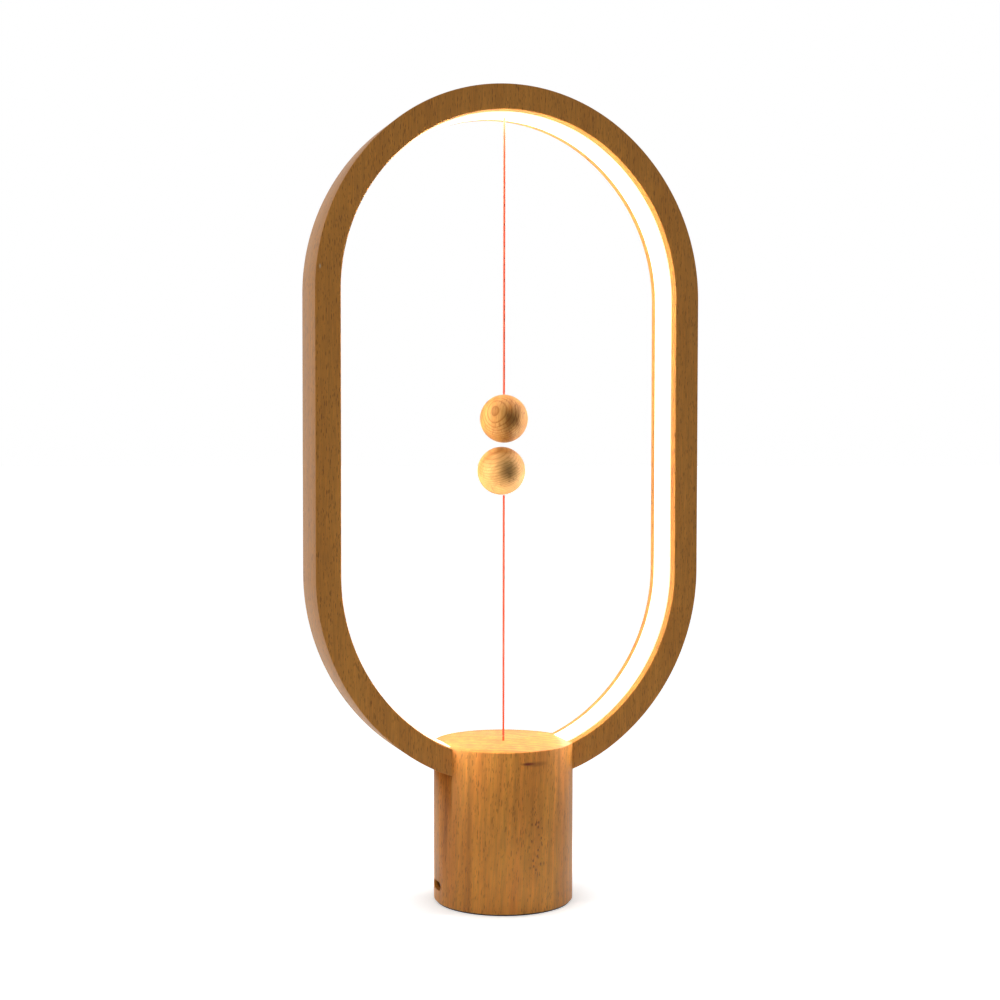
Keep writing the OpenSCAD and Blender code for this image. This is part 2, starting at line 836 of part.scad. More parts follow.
// Bent steel bracket that hangs the switch from the chamber's ceiling
module switch_bracket() {
    color(steel)
        difference() {
            union() {
                translate([0, switch_w / 2, shelf_z - bracket_t])
                    cube([flange_x, flange_y - switch_w / 2, bracket_t]);
                translate([0, switch_w / 2, switch_bottom_z])
                    cube([switch_end_x, bracket_t, shelf_z - switch_bottom_z]);
            }
            for (x = switch_screw_x)
                translate([x, switch_w, switch_screw_z])
                    rotate([90, 0, 0])
                        cylinder(r = switch_screw[0] + run_gap, h = 2 * switch_w, $fn = small_fn);
            for (x = bracket_screw_x)
                translate([x, bracket_screw_y, shelf_z - bracket_t - cut])
                    cylinder(r = bracket_screw[0] + glue_gap, h = bracket_t + 2 * cut,
                        $fn = small_fn);
        }
}

// Small screws with nuts that clamp the switch to its bracket
module switch_screws() {
    color(steel)
        for (x = switch_screw_x)
            translate([x, -switch_w / 2, switch_screw_z])
                rotate([-90, 0, 0]) {
                    screw(switch_screw);
                    translate([0, 0, switch_w + bracket_t])
                        cylinder(r = nut_r, h = nut_t, $fn = 6);
                }
}

// Screws that hold the bracket to the ceiling
module bracket_screws() {
    color(steel)
        for (x = bracket_screw_x)
            translate([x, bracket_screw_y, shelf_z - bracket_t])
                screw(bracket_screw);
}

// Iron disc that keeps the lamp steady
module ballast_disc() {
    color("#5B5E61")
        difference() {
            translate([0, 0, ballast_bottom_z])
                cylinder(r = cavity_r - loose_gap, h = ballast_t, $fn = round_fn);
            translate([0, 0, ballast_bottom_z - cut])
                cylinder(r = ballast_hole_r, h = ballast_t + 2 * cut, $fn = small_fn);
            on_circle(ballast_screw_r, ballast_screw_angles, ballast_bottom_z)
                screw_hole(ballast_screw);
        }
}

// Screws that hold the ballast up against its step
module ballast_screws() {
    color(steel)
        on_circle(ballast_screw_r, ballast_screw_angles, ballast_bottom_z)
            screw(ballast_screw);
}

// Round driver board, with a tongue that carries the power socket into the wall
module circuit_board() {
    color("#2E6B45")
        difference() {
            union() {
                translate([0, 0, board_bottom_z])
                    cylinder(r = board_r, h = board_t, $fn = round_fn);
                translate([tongue_tip_x, -tongue_w / 2, board_bottom_z])
                    cube([-tongue_tip_x, tongue_w, board_t]);
            }
            on_circle(board_screw_r, board_screw_angles, board_bottom_z - cut)
                cylinder(r = board_screw[0] + glue_gap, h = board_t + 2 * cut, $fn = small_fn);
        }
}

// Power socket: a thin metal shell with a contact tongue inside
module power_socket() {
    color(steel)
        translate([socket_front_x, 0, port_z]) {
            difference() {
                stadium_bar(socket_w, socket_h, socket_l);
                translate([-cut, 0, 0])
                    stadium_bar(socket_w - 2 * socket_skin, socket_h - 2 * socket_skin,
                        socket_l - 1 + cut);
            }
            translate([socket_skin, -socket_w * 0.37, -socket_skin])
                cube([socket_l - 2 * socket_skin, socket_w * 0.74, 2 * socket_skin]);
        }
}

// Main parts of the driver circuit, standing on the board
module board_components() {
    color(rubber_black) {
        for (part = board_parts)
            translate([part[0], part[1], board_top_z])
                cube([part[2], part[3], part[4]]);
        translate([capacitor[0], capacitor[1], board_top_z])
            cylinder(r = capacitor[2], h = capacitor[3], $fn = small_fn);
    }
}

// Screws that hold the board to the cover's posts
module board_screws() {
    color(steel)
        on_circle(board_screw_r, board_screw_angles, board_top_z)
            mirror([0, 0, 1])
                screw(board_screw);
}

// Countersunk cover with four posts for the board
module bottom_cover() {
    color("#3A3A3A")
        difference() {
            union() {
                translate([0, 0, foot_t])
                    cylinder(r = cover_seat_r - glue_gap, h = cover_t, $fn = round_fn);
                on_circle(board_screw_r, board_screw_angles, foot_t + cut)
                    cylinder(r = post_r, h = board_bottom_z - foot_t - cut, $fn = small_fn);
            }
            on_circle(board_screw_r, board_screw_angles, board_top_z)
                mirror([0, 0, 1])
                    screw_hole(board_screw);
            on_circle(cover_screw_r, cover_screw_angles, foot_t - cut)
                cylinder(r = cover_screw[0] + glue_gap, h = cover_t + 2 * cut, $fn = small_fn);
            on_circle(cover_screw_r, cover_screw_angles, foot_t - cut)
                cylinder(r = cover_screw[2] + glue_gap, h = cover_screw[3] + cut + glue_gap,
                    $fn = small_fn);
        }
}

// Screws that hold the cover, with their heads sunk in it
module cover_screws() {
    color(steel)
        on_circle(cover_screw_r, cover_screw_angles, cover_screw_z)
            screw(cover_screw);
}

// Thin soft pad under the whole base
module foot_pad() {
    color(rubber_black)
        cylinder(r = base_r - foot_inset, h = foot_t, $fn = round_fn);
}

// Pair of wires from the end of the light tape down to the board
module led_leads() {
    color("#C23A2E")
        for (side = [-1, 1])
            wire([for (p = led_lead_route) [p[0], side * led_lead_y, p[1]]], wire_d, [0, 1, 0]);
}

// Pair of wires from the switch's blades down to the board
module switch_leads() {
    start_z = switch_top_z + switch_lead_rise;
    out_y = -switch_w / 2 - switch_lead_out;
    color("#303030")
        for (i = [0, 1]) {
            blade_x = terminal_x[i] - terminal_t / 2 - wire_d / 2 - run_gap;
            x = switch_lead_x[i];
            wire([
                [blade_x, 0, start_z], [blade_x, out_y, start_z], [x, out_y, switch_bottom_z],
                [x, switch_lead_y, ballast_top_z], [x, switch_lead_y, board_top_z + run_gap]
            ], wire_d, [1, 0, 0]);
        }
}

base_body();
ring_frame();
light_diffuser();
led_tape();
led_chips();
leg_screws();
anchor_ferrule();
anchor_thread();
upper_thread();
upper_ball();
upper_magnet();
upper_ball_plug();
upper_knot();
lower_thread();
lower_ball();
lower_magnet();
lower_ball_plug();
lower_knot();
pull_thread();
pull_bead();
thread_bush();
switch_body();
switch_terminals();
switch_button();
switch_lever();
lever_pin();
switch_bracket();
switch_screws();
bracket_screws();
ballast_disc();
ballast_screws();
circuit_board();
power_socket();
board_components();
board_screws();
bottom_cover();
cover_screws();
foot_pad();
led_leads();
switch_leads();
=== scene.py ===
import math

import bmesh
import bpy
from mathutils import Matrix, Vector


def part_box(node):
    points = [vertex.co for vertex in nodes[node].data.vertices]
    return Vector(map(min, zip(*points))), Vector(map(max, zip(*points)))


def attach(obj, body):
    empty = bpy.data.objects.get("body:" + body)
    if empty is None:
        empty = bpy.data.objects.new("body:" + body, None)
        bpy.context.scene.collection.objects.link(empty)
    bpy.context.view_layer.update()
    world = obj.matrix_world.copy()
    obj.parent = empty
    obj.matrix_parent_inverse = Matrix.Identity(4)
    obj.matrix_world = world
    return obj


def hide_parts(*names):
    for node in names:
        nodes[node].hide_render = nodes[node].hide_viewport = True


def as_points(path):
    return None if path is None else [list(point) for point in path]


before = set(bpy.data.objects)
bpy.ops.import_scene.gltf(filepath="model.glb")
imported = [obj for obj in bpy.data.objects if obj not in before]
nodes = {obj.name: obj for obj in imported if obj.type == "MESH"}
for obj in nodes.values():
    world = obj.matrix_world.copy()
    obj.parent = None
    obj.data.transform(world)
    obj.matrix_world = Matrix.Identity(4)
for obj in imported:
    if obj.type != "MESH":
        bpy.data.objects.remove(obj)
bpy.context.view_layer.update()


# Camera
# A long lens stands to the lamp's left and a little above its middle, nearly level. Its place
# and its focal length, in pixels, were solved from the outlines of the ring and the base.
camera_far = 0.836385
camera_high = 0.22388
camera_turn = math.radians(18.18)
camera_dip = math.radians(2.14)
camera_roll = math.radians(0.102)
sensor_w = 36
photo_px = 1000
focal_px = 1668.439


def new_object(name, data):
    """An object that holds the data, put in the scene."""
    made = bpy.data.objects.new(name, data)
    bpy.context.scene.collection.objects.link(made)
    return made


ahead = Vector((math.sin(camera_turn), math.cos(camera_turn), 0))
aim = ahead * math.cos(camera_dip) - Vector((0, 0, math.sin(camera_dip)))
camera = new_object("camera", bpy.data.cameras.new("camera"))
camera.rotation_mode = "QUATERNION"
camera.location = Vector((0, 0, camera_high)) - ahead * camera_far
camera.rotation_quaternion = (
    aim.to_track_quat("-Z", "Y") @ Matrix.Rotation(camera_roll, 3, "Z").to_quaternion()
)
camera.data.sensor_width = sensor_w
camera.data.lens = focal_px * sensor_w / photo_px
camera.data.shift_x = -0.00375
camera.data.shift_y = 0.01727
camera.data.clip_start = 0.01
bpy.context.scene.camera = camera
bpy.context.scene.view_settings.view_transform = "Standard"


# Threads
# Two lengths of coral polyester cord, three strands laid together. The upper one hangs from
# the ring and holds up a ball, and the lower one rises out of the base and holds a ball down.
def colour(hex_text):
    """A colour written as sRGB hex, turned to linear light."""
    parts = [int(hex_text[i : i + 2], 16) / 255 for i in (1, 3, 5)]
    return [p / 12.92 if p <= 0.04045 else ((p + 0.055) / 1.055) ** 2.4 for p in parts] + [1]


def fill(node, inputs):
    """Sets a node's inputs, or links them to a socket or to another node's first live output."""
    for key, value in inputs.items():
        if isinstance(value, bpy.types.Node):
            value = next(output for output in value.outputs if output.enabled)
        if isinstance(value, bpy.types.NodeSocket):
            node.id_data.links.new(value, node.inputs[key])
        else:
            node.inputs[key].default_value = value


def add(tree, kind, inputs=None, **settings):
    """A node of a tree, with its settings and its inputs."""
    made = tree.nodes.new(kind)
    for name, value in settings.items():
        setattr(made, name, value)
    fill(made, inputs or {})
    return made


def new_material(name, **surface):
    """A material, its tree, its surface shader, and the place on the piece in metres."""
    made = bpy.data.materials.new(name)
    made.use_nodes = True
    tree = made.node_tree
    tree.nodes.clear()
    surface = {key.replace("_", " "): value for key, value in surface.items()}
    shader = add(tree, "ShaderNodeBsdfPrincipled", surface)
    add(tree, "ShaderNodeOutputMaterial", {"Surface": shader})
    return made, tree, shader, add(tree, "ShaderNodeTexCoord").outputs["Object"]


def grade(ramp, *stops):
    """Sets the stops of a colour ramp, each a position and a colour."""
    elements = ramp.color_ramp.elements
    for i, (position, tint) in enumerate(stops):
        stop = elements[i] if i < len(elements) else elements.new(position)
        stop.position, stop.color = position, tint


def tube_faces(rows, sides, first=0, looped=False, open_start=False):
    """Faces between rows of points, each row a ring. A looped tube joins its last row to its
    first, and any other is closed at its ends."""
    faces = []
    for i in range(rows if looped else rows - 1):
        here, there = first + i * sides, first + (i + 1) % rows * sides
        for k in range(sides):
            n = (k + 1) % sides
            faces.append((here + k, here + n, there + n, there + k))
    if not (looped or open_start):
        faces.append(tuple(first + k for k in reversed(range(sides))))
    if not looped:
        faces.append(tuple(first + (rows - 1) * sides + k for k in range(sides)))
    return faces


def finish_piece(piece, node, material, body, slot_name):
    """Outward faces, smooth shading up to 35 degrees, one material, and the body it moves with; its
    CAD piece is hidden, and the slot name is not used.
    """
    shape = bmesh.new()
    shape.from_mesh(piece.data)
    bmesh.ops.remove_doubles(shape, verts=shape.verts, dist=1e-6)
    bmesh.ops.recalc_face_normals(shape, faces=shape.faces)
    shape.to_mesh(piece.data)
    shape.free()
    piece.data.shade_smooth()
    piece.data.set_sharp_from_angle(angle=math.radians(35))
    piece.data.materials.clear()
    piece.data.materials.append(material)
    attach(piece, body)
    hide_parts(node)
    return piece


def put_together(name, verts, faces, *finish):
    """A piece from points and faces, with what finish_piece takes after the piece."""
    mesh = bpy.data.meshes.new(name)
    mesh.from_pydata([tuple(v) for v in verts], [], faces)
    return finish_piece(new_object(name, mesh), *finish)


# Polyester cord: soft sheen, with painted shade darkening the grooves between its three strands.
thread_r = 0.0006
strands = 3
strand_lay = 0.0032
coral_cord, tree, shader, place = new_material(
    "coral_polyester_cord", Roughness=0.62, IOR=1.5, Sheen_Weight=0.12, Sheen_Roughness=0.4
)
axes = add(tree, "ShaderNodeSeparateXYZ", {0: place}).outputs
angle = add(tree, "ShaderNodeMath", {0: axes[1], 1: axes[0]}, operation="ARCTAN2")
twist = add(tree, "ShaderNodeMath", {0: axes[2], 1: 2 * math.pi / strand_lay}, operation="MULTIPLY")
phase = add(tree, "ShaderNodeMath", {0: angle, 1: twist}, operation="SUBTRACT")
thrice = add(tree, "ShaderNodeMath", {0: phase, 1: strands}, operation="MULTIPLY")
lobe = add(tree, "ShaderNodeMath", {0: thrice}, operation="COSINE")
# Painted shade: the strands' colour runs dark into each groove between them
tone = add(tree, "ShaderNodeMapRange", {"Value": lobe, "From Min": -1.0, "From Max": 0.6})
strand = add(tree, "ShaderNodeValToRGB", {"Fac": tone})
grade(strand, (0, colour("#A8351A")), (1, colour("#E05A2C")))
# Fibres 0.11 mm thick and 0.45 mm long
lengthwise = add(tree, "ShaderNodeMapping", {"Vector": place, "Scale": (9000, 9000, 2200)})
fibre = add(tree, "ShaderNodeTexNoise", {"Vector": lengthwise, "Scale": 1.0, "Detail": 3.0})
# Paler fibres laid over the strands' colour and its painted groove shade
fibres_over_groove_shade = add(tree, "ShaderNodeMix", {0: fibre, 6: strand, 7: colour("#F08A66")},
           data_type="RGBA", blend_type="SOFT_LIGHT")
rib = add(tree, "ShaderNodeBump", {"Strength": 0.6, "Distance": 0.00008, "Height": fibre})
fill(shader, {"Base Color": fibres_over_groove_shade, "Normal": rib})


def laid_thread(name, node, body):
    """Three strands laid round each other, as one closed tube with a lobed section."""
    low, high = (corner.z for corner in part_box(node))
    sides, steps = 18, max(12, round((high - low) / 0.00032))
    verts = []
    for i in range(steps + 1):
        z = low + (high - low) * i / steps
        pinch = 1.0 if 0 < i < steps else 0.55
        for k in range(sides):
            a = 2 * math.pi * k / sides
            lobe = math.cos(strands * (a - 2 * math.pi * z / strand_lay))
            r = thread_r * pinch * (0.9 + 0.1 * lobe)
            verts.append((r * math.cos(a), r * math.sin(a), z))
    faces = tube_faces(steps + 1, sides)
    piece = put_together(name, verts, faces, node, coral_cord, body, "coral_thread")
    piece.data.shade_smooth()
    return piece, low, high


for name, node, body, leaves_low in (
    ("upper_cord", "upper_thread", "upper_string", False),
    ("lower_cord", "lower_thread", "lower_string", True),
):
    cord, low, high = laid_thread(name, node, body)
    route = [(0, 0, low + (high - low) * i / 20) for i in range(21)]
    route = route if leaves_low else route[::-1]
    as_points(route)
laid_thread("pull_cord", "pull_thread", "pull")
laid_thread("anchor_cord", "anchor_thread", "lamp")


# Ring
# Solid steamed beech, oiled: an upright oval whose two ends go down into the base. It is cut
# with the grain upright, its inside milled with a rebate and a channel for the light.
def beech(name, pale, deep, fleck, pith, middle=(0, 0, 0), along=(0, 0, 1), ring_gap=2.6,
          fleck_share=0.78, fleck_depth=0.55, line_depth=0.28, end_lines=0.3, streak_depth=0.1,
          band_spread=0.5, polish=0.45, sheen=0.36, line_tint=None, line_start=0.35):
    """Oiled beech: faint growth rings round a pith, and short dark rays. The pith and the piece's
    middle are places in millimetres from the lamp's origin, and the grain runs along a direction."""
    wood, tree, shader, place = new_material(
        name, Roughness=polish, IOR=1.5, Specular_IOR_Level=sheen)
    along = Vector(along).normalized()
    inward = Vector(pith) - Vector(middle)
    inward = inward - along * inward.dot(along)
    reach = inward.length
    inward.normalize()
    turn = Matrix((inward.cross(along), inward, along))
    grain = add(tree, "ShaderNodeMapping", {
        "Vector": place, "Scale": (1000, 1000, 1000), "Rotation": turn.to_euler(),
        "Location": -(turn @ Vector(pith))})
    x, y, height = add(tree, "ShaderNodeSeparateXYZ", {0: grain}).outputs
    across = add(tree, "ShaderNodeCombineXYZ", {0: x, 1: y})
    radius = add(tree, "ShaderNodeVectorMath", {0: across}, operation="LENGTH")
    angle = add(tree, "ShaderNodeMath", {0: y, 1: x}, operation="ARCTAN2")
    arc = add(tree, "ShaderNodeMath", {0: angle, 1: reach}, operation="MULTIPLY")
    trunk = add(tree, "ShaderNodeCombineXYZ", {0: arc, 1: radius, 2: height})

    # Noises long in the way of the grain, with their cells to a millimetre: how the growth rings
    # bend, slow bands of darker and paler wood, fine fibres, and long streaks
    sway, band, fibre, streak = (
        add(tree, "ShaderNodeTexNoise", {
            "Vector": add(tree, "ShaderNodeMapping", {"Vector": space, "Scale": cells}),
            "Scale": 1.0, "Detail": detail, "Roughness": rough})
        for space, cells, detail, rough in (
            (grain, (0.05, 0.05, 0.012), 2.0, 0.5),
            (trunk, (0.16, 0.1, 0.011), 3.0, 0.6),
            (trunk, (2.0, 1.1, 0.1), 4.0, 0.65),
            (trunk, (0.55, 0.3, 0.009), 3.0, 0.55),
        )
    )

    # Growth rings: pale early wood that darkens towards a thin late line
    bent = add(tree, "ShaderNodeMath", {0: sway, 1: 5.0, 2: radius}, operation="MULTIPLY_ADD")
    year = add(tree, "ShaderNodeMath", {0: bent, 1: 1 / ring_gap}, operation="MULTIPLY")
    season = add(tree, "ShaderNodeMath", {0: year}, operation="FRACT")
    late = add(tree, "ShaderNodeValToRGB", {"Fac": season})
    grade(late, (line_start, (0, 0, 0, 1)), (0.92, (1, 1, 1, 1)), (1, (0.1, 0.1, 0.1, 1)))

    # Rays: dark spindles that run in towards the pith, some 0.45 mm wide and 4 mm high among
    # many that are 0.3 mm wide and 2.4 mm high. On end grain they are too fine to see.
    rays = []
    for cells, share in (((1.7, 0.2, 0.2), fleck_share), ((2.5, 0.4, 0.34), fleck_share + 0.15)):
        spindles = add(tree, "ShaderNodeTexVoronoi", {
            "Vector": add(tree, "ShaderNodeMapping", {"Vector": trunk, "Scale": cells}),
            "Scale": 1.0})
        pick = add(tree, "ShaderNodeSeparateXYZ", {0: spindles.outputs["Color"]}).outputs[0]
        size = add(tree, "ShaderNodeMapRange", {
            "Value": pick, "From Min": 1.0 - share, "To Min": 0.06, "To Max": 0.4})
        inside = add(tree, "ShaderNodeMath", {0: size, 1: spindles}, operation="SUBTRACT")
        rays.append(add(tree, "ShaderNodeMapRange", {"Value": inside, "From Max": 0.14}))
    densest = add(tree, "ShaderNodeMath", {0: rays[0], 1: rays[1]}, operation="MAXIMUM")
    facing = add(tree, "ShaderNodeSeparateXYZ", {0: place.node.outputs["Normal"]}).outputs[2]
    upward = add(tree, "ShaderNodeMath", {0: facing}, operation="ABSOLUTE")
    end_rays = 0.12
    long_grain = add(tree, "ShaderNodeMapRange", {
        "Value": upward, "From Min": 0.99, "From Max": 0.9, "To Min": end_rays})
    ray = add(tree, "ShaderNodeMath", {0: densest, 1: long_grain}, operation="MULTIPLY")

    # The wood's colour: its bands, then the late lines, the fibres and streaks, and the rays
    half_band = 0.18 / (2 * band_spread)
    spread = add(tree, "ShaderNodeMapRange", {
        "Value": band, "From Min": 0.5 - half_band, "From Max": 0.5 + half_band})
    tone = add(tree, "ShaderNodeMix", {0: spread, 6: colour(deep), 7: colour(pale)}, data_type="RGBA")
    shown_line = add(tree, "ShaderNodeMapRange", {
        "Value": long_grain, "From Min": end_rays, "To Min": end_lines, "To Max": line_depth})
    line = add(tree, "ShaderNodeMath", {0: late, 1: shown_line}, operation="MULTIPLY")
    lined = add(tree, "ShaderNodeMix", {0: line, 6: tone, 7: colour(line_tint or deep)},
                data_type="RGBA")
    fine = add(tree, "ShaderNodeMapRange", {
        "Value": fibre, "From Min": 0.25, "From Max": 0.75, "To Min": 0.76, "To Max": 1.22})
    long_tone = add(tree, "ShaderNodeMapRange", {
        "Value": streak, "From Min": 0.3, "From Max": 0.7,
        "To Min": 1 - streak_depth, "To Max": 1 + streak_depth})
    both = add(tree, "ShaderNodeMath", {0: fine, 1: long_tone}, operation="MULTIPLY")
    streaked = add(tree, "ShaderNodeVectorMath", {0: lined, 3: both}, operation="SCALE")
    ray_tint = add(tree, "ShaderNodeMath", {0: ray, 1: fleck_depth}, operation="MULTIPLY")
    flecked = add(tree, "ShaderNodeMix", {0: ray_tint, 6: streaked, 7: colour(fleck)},
                  data_type="RGBA")

    gloss = add(tree, "ShaderNodeMapRange", {
        "Value": fibre, "From Min": 0.2, "From Max": 0.8,
        "To Min": polish - 0.07, "To Max": polish + 0.1})
    lift = add(tree, "ShaderNodeMath", {0: ray, 1: -0.7, 2: fibre}, operation="MULTIPLY_ADD")
    feel = add(tree, "ShaderNodeBump", {"Strength": 0.35, "Distance": 0.00006, "Height": lift})
    fill(shader, {"Base Color": flecked, "Roughness": gloss, "Normal": feel})
    return wood, tree, shader, place, flecked


def faded(tree, place, middle, halves, turned, depth, solid=0.15):
    """How much a mark shows: an ellipse of half sizes along and across the surface and up it,
    turned about Z, that fades out from a solid share of its size."""
    local = add(tree, "ShaderNodeMapping", {
        "Vector": place, "Location": middle, "Scale": halves, "Rotation": (0, 0, turned)},
        vector_type="TEXTURE")
    off = add(tree, "ShaderNodeVectorMath", {0: local}, operation="LENGTH")
    return add(tree, "ShaderNodeMapRange", {
        "Value": off, "From Min": 1.0, "From Max": solid, "To Max": depth},
        interpolation_type="SMOOTHSTEP")


beech_ring, tree, shader, place, flecked = beech(
    "oiled_beech_ring", "#DE9A44", "#C98636", "#68340A", pith=(20, 190, 0), line_depth=0.06,
    end_lines=0.2, streak_depth=0.05, band_spread=0.3
)
# A small pale scar on the outside of the left shoulder
scar = faded(tree, place, (-0.0966, -0.0155, 0.3129), (0.0007, 0.002, 0.0016), 0.0, 0.9)
scarred = add(tree, "ShaderNodeMix", {0: scar, 6: flecked, 7: colour("#E6C79A")}, data_type="RGBA")
fill(shader, {"Base Color": scarred})

ring_half_w = 0.099
ring_straight = 0.137
arch_extra = 0.0035
keel_extra = 0.0055
ring_end_x = 0.01427
keel_z = 0.1655
arch_z = keel_z + ring_straight
ring_t = 0.0125
half_w = 0.0155
lip_w = 0.0055
rebate = 0.0024
floor_in = 0.0045
channel = 0.0075
edge_r = 0.0004


def oval_line(end_x):
    """Points of the ring's outline, from its right end round the top to its left end."""
    def arc(x, z, r, first, span, steps, count):
        turns = (first + span * i / steps for i in range(count))
        return [(x + r * math.cos(a), z + r * math.sin(a)) for a in turns]

    arch_q, keel_q = 1.5 * arch_extra, 1.5 * keel_extra
    join = math.atan2(4, 3)
    side_top, side_low = ring_half_w + arch_q, ring_half_w + keel_q
    end_top, end_low = side_top - 2.5 * arch_extra, side_low - 2.5 * keel_extra
    start = -math.acos(end_x / end_low)
    half = arc(0, keel_z - 2 * keel_extra, end_low, start, -join - start, 40, 40)
    half += arc(-keel_q, keel_z, side_low, -join, join, 45, 45)
    half += [(ring_half_w, keel_z + ring_straight * i / 24) for i in range(24)]
    half += arc(-arch_q, arch_z, side_top, 0, join, 45, 45)
    half += arc(0, arch_z + 2 * arch_extra, end_top, join, math.pi / 2 - join, 32, 33)
    return [(x, 0, z) for x, z in half] + [(-x, 0, z) for x, z in reversed(half[:-1])]


def node_group(name, given, made, inputs):
    """A Geometry Nodes group with its sockets, and what its input node gives."""
    group = bpy.data.node_groups.new(name, "GeometryNodeTree")
    for word, kind in ((given, "Geometry"), *inputs):
        group.interface.new_socket(word, in_out="INPUT", socket_type="NodeSocket" + kind)
    group.interface.new_socket(made, in_out="OUTPUT", socket_type="NodeSocketGeometry")
    return group, add(group, "NodeGroupInput").outputs


def keep_made(piece):
    """Gives a piece the mesh that its modifiers make."""
    evaluated = piece.evaluated_get(bpy.context.evaluated_depsgraph_get())
    done = bpy.data.meshes.new_from_object(evaluated)
    piece.modifiers.clear()
    piece.data = done


def run_group(piece, group, given, made, values):
    """Paints what a group made, and gives the piece that mesh, with the group's inputs by name."""
    real = add(group, "GeometryNodeRealizeInstances", {0: made})
    painted = add(group, "GeometryNodeSetMaterial", {"Geometry": real, "Material": given["Finish"]})
    add(group, "NodeGroupOutput", {0: painted})
    maker = piece.modifiers.new("maker", "NODES")
    maker.node_group = group
    for socket in group.interface.items_tree:
        if socket.name in values:
            maker[socket.identifier] = values[socket.name]
    keep_made(piece)


def swept(name, line, section, rounding, node, material, body, slot_name):
    """Sweeps a closed section along a line with Geometry Nodes. The section is given as
    distances in from the line and across it, and its corners are rounded."""
    path = bpy.data.meshes.new(name)
    path.from_pydata(line, [(i, i + 1) for i in range(len(line) - 1)], [])
    piece = new_object(name, path)
    outline = bpy.data.curves.new(name + "_section", "CURVE")
    spline = outline.splines.new("POLY")
    spline.points.add(len(section) - 1)
    for point, (inward, across) in zip(spline.points, section):
        point.co = (across, -inward, 0, 1)
    spline.use_cyclic_u = True
    pattern = new_object(name + "_section", outline)

    sweep, given = node_group(name + "_sweep", "Path", "Swept Piece", (
        ("Section", "Object"), ("Edge Radius", "Float"), ("Edge Steps", "Int"),
        ("Finish", "Material")))
    line_in = add(sweep, "GeometryNodeMeshToCurve", {"Mesh": given["Path"]})
    shape = add(sweep, "GeometryNodeObjectInfo", {"Object": given["Section"]}).outputs["Geometry"]
    rounded = add(sweep, "GeometryNodeFilletCurve", {
        "Curve": shape, "Radius": given["Edge Radius"], "Count": given["Edge Steps"]}, mode="POLY")
    solid = add(sweep, "GeometryNodeCurveToMesh", {
        "Curve": line_in, "Profile Curve": rounded, "Fill Caps": True})
    run_group(piece, sweep, given, solid, {
        "Section": pattern, "Edge Radius": rounding, "Edge Steps": 3, "Finish": material})
    bpy.data.objects.remove(pattern)
    finish_piece(piece, node, material, body, slot_name)


ring_section = [
    (0, -half_w), (0, half_w), (ring_t, half_w), (ring_t, half_w - lip_w),
    (ring_t - rebate, half_w - lip_w), (ring_t - rebate, channel), (floor_in, channel),
    (floor_in, -channel), (ring_t - rebate, -channel), (ring_t - rebate, lip_w - half_w),
    (ring_t, lip_w - half_w), (ring_t, -half_w),
]
swept("ring", oval_line(ring_end_x), ring_section, edge_r, "ring_frame", beech_ring, "lamp",
      "beech_ring")


# Diffuser
# Opal acrylic strip, let into the ring and lit from behind by the tape: even white light,
# a little warmer where it meets the wood on each side.
def dress(names, material):
    """Gives CAD pieces their finish."""
    for name in names:
        for held in nodes[name].material_slots:
            held.material = material


opal, tree, shader, place = new_material(
    "opal_acrylic_lit", Base_Color=colour("#FBF4E6"), Roughness=0.4, IOR=1.49
)
across = add(tree, "ShaderNodeSeparateXYZ", {0: place}).outputs[1]
off_middle = add(tree, "ShaderNodeMath", {0: across}, operation="ABSOLUTE")
bright_half, strip_half = 0.0055, 0.0096
fade = add(tree, "ShaderNodeMapRange", {
    "Value": off_middle, "From Min": bright_half, "From Max": strip_half})
glow = add(tree, "ShaderNodeValToRGB", {"Fac": fade})
grade(glow, (0, colour("#FFF1E0")), (1, colour("#FFE6C4")))
# It is far brighter than the eye or a camera can hold, so what is seen of it stops at white. The
# chips lie behind its middle, so its edges throw much less light on the wood beside them.
seen = add(tree, "ShaderNodeLightPath").outputs["Is Camera Ray"]
shown = add(tree, "ShaderNodeMapRange", {"Value": fade, "To Min": 1.5, "To Max": 1.0})
thrown = add(tree, "ShaderNodeMapRange", {"Value": fade, "To Min": 31.0, "To Max": 0.15})
level = add(tree, "ShaderNodeMix", {0: seen, 2: thrown, 3: shown}, data_type="FLOAT")
grit = add(tree, "ShaderNodeTexNoise", {"Vector": place, "Scale": 2500.0, "Detail": 2.0})
satin = add(tree, "ShaderNodeBump", {"Strength": 0.2, "Distance": 0.00003, "Height": grit})
fill(shader, {"Emission Color": glow, "Emission Strength": level, "Normal": satin})
dress(["light_diffuser"], opal)


# Base
# A round block of the same beech, turned, its rims eased, and bored from below for the works.
# It takes the ring's two ends, and has a slot for power low in its left side.
beech_base, tree, shader, place, shade = beech(
    "oiled_beech_base", "#F4AC4A", "#D6863A", "#86400F", pith=(4, 84, 0), along=(0.05, 0, 1),
    ring_gap=4.6, streak_depth=0.16, line_depth=0.07, end_lines=0.7, band_spread=0.42,
    line_tint="#9A5420"
)
# A knot's dark smear under the front rim, and two dark bands up the left side
for mark in (
    ((0.0012, -0.035, 0.0741), (0.0046, 0.003, 0.0011), 0.03, 1.0),
    ((0.0056, -0.0345, 0.0738), (0.0085, 0.004, 0.0018), 0.16, 0.5),
    ((-0.0333, -0.0109, 0.039), (0.0012, 0.004, 0.11), -1.25, 0.22),
    ((-0.0254, -0.0241, 0.041), (0.0019, 0.004, 0.12), -0.81, 0.26),
):
    share = faded(tree, place, *mark)
    shade = add(tree, "ShaderNodeMix", {0: share, 6: shade, 7: colour("#78300E")}, data_type="RGBA")
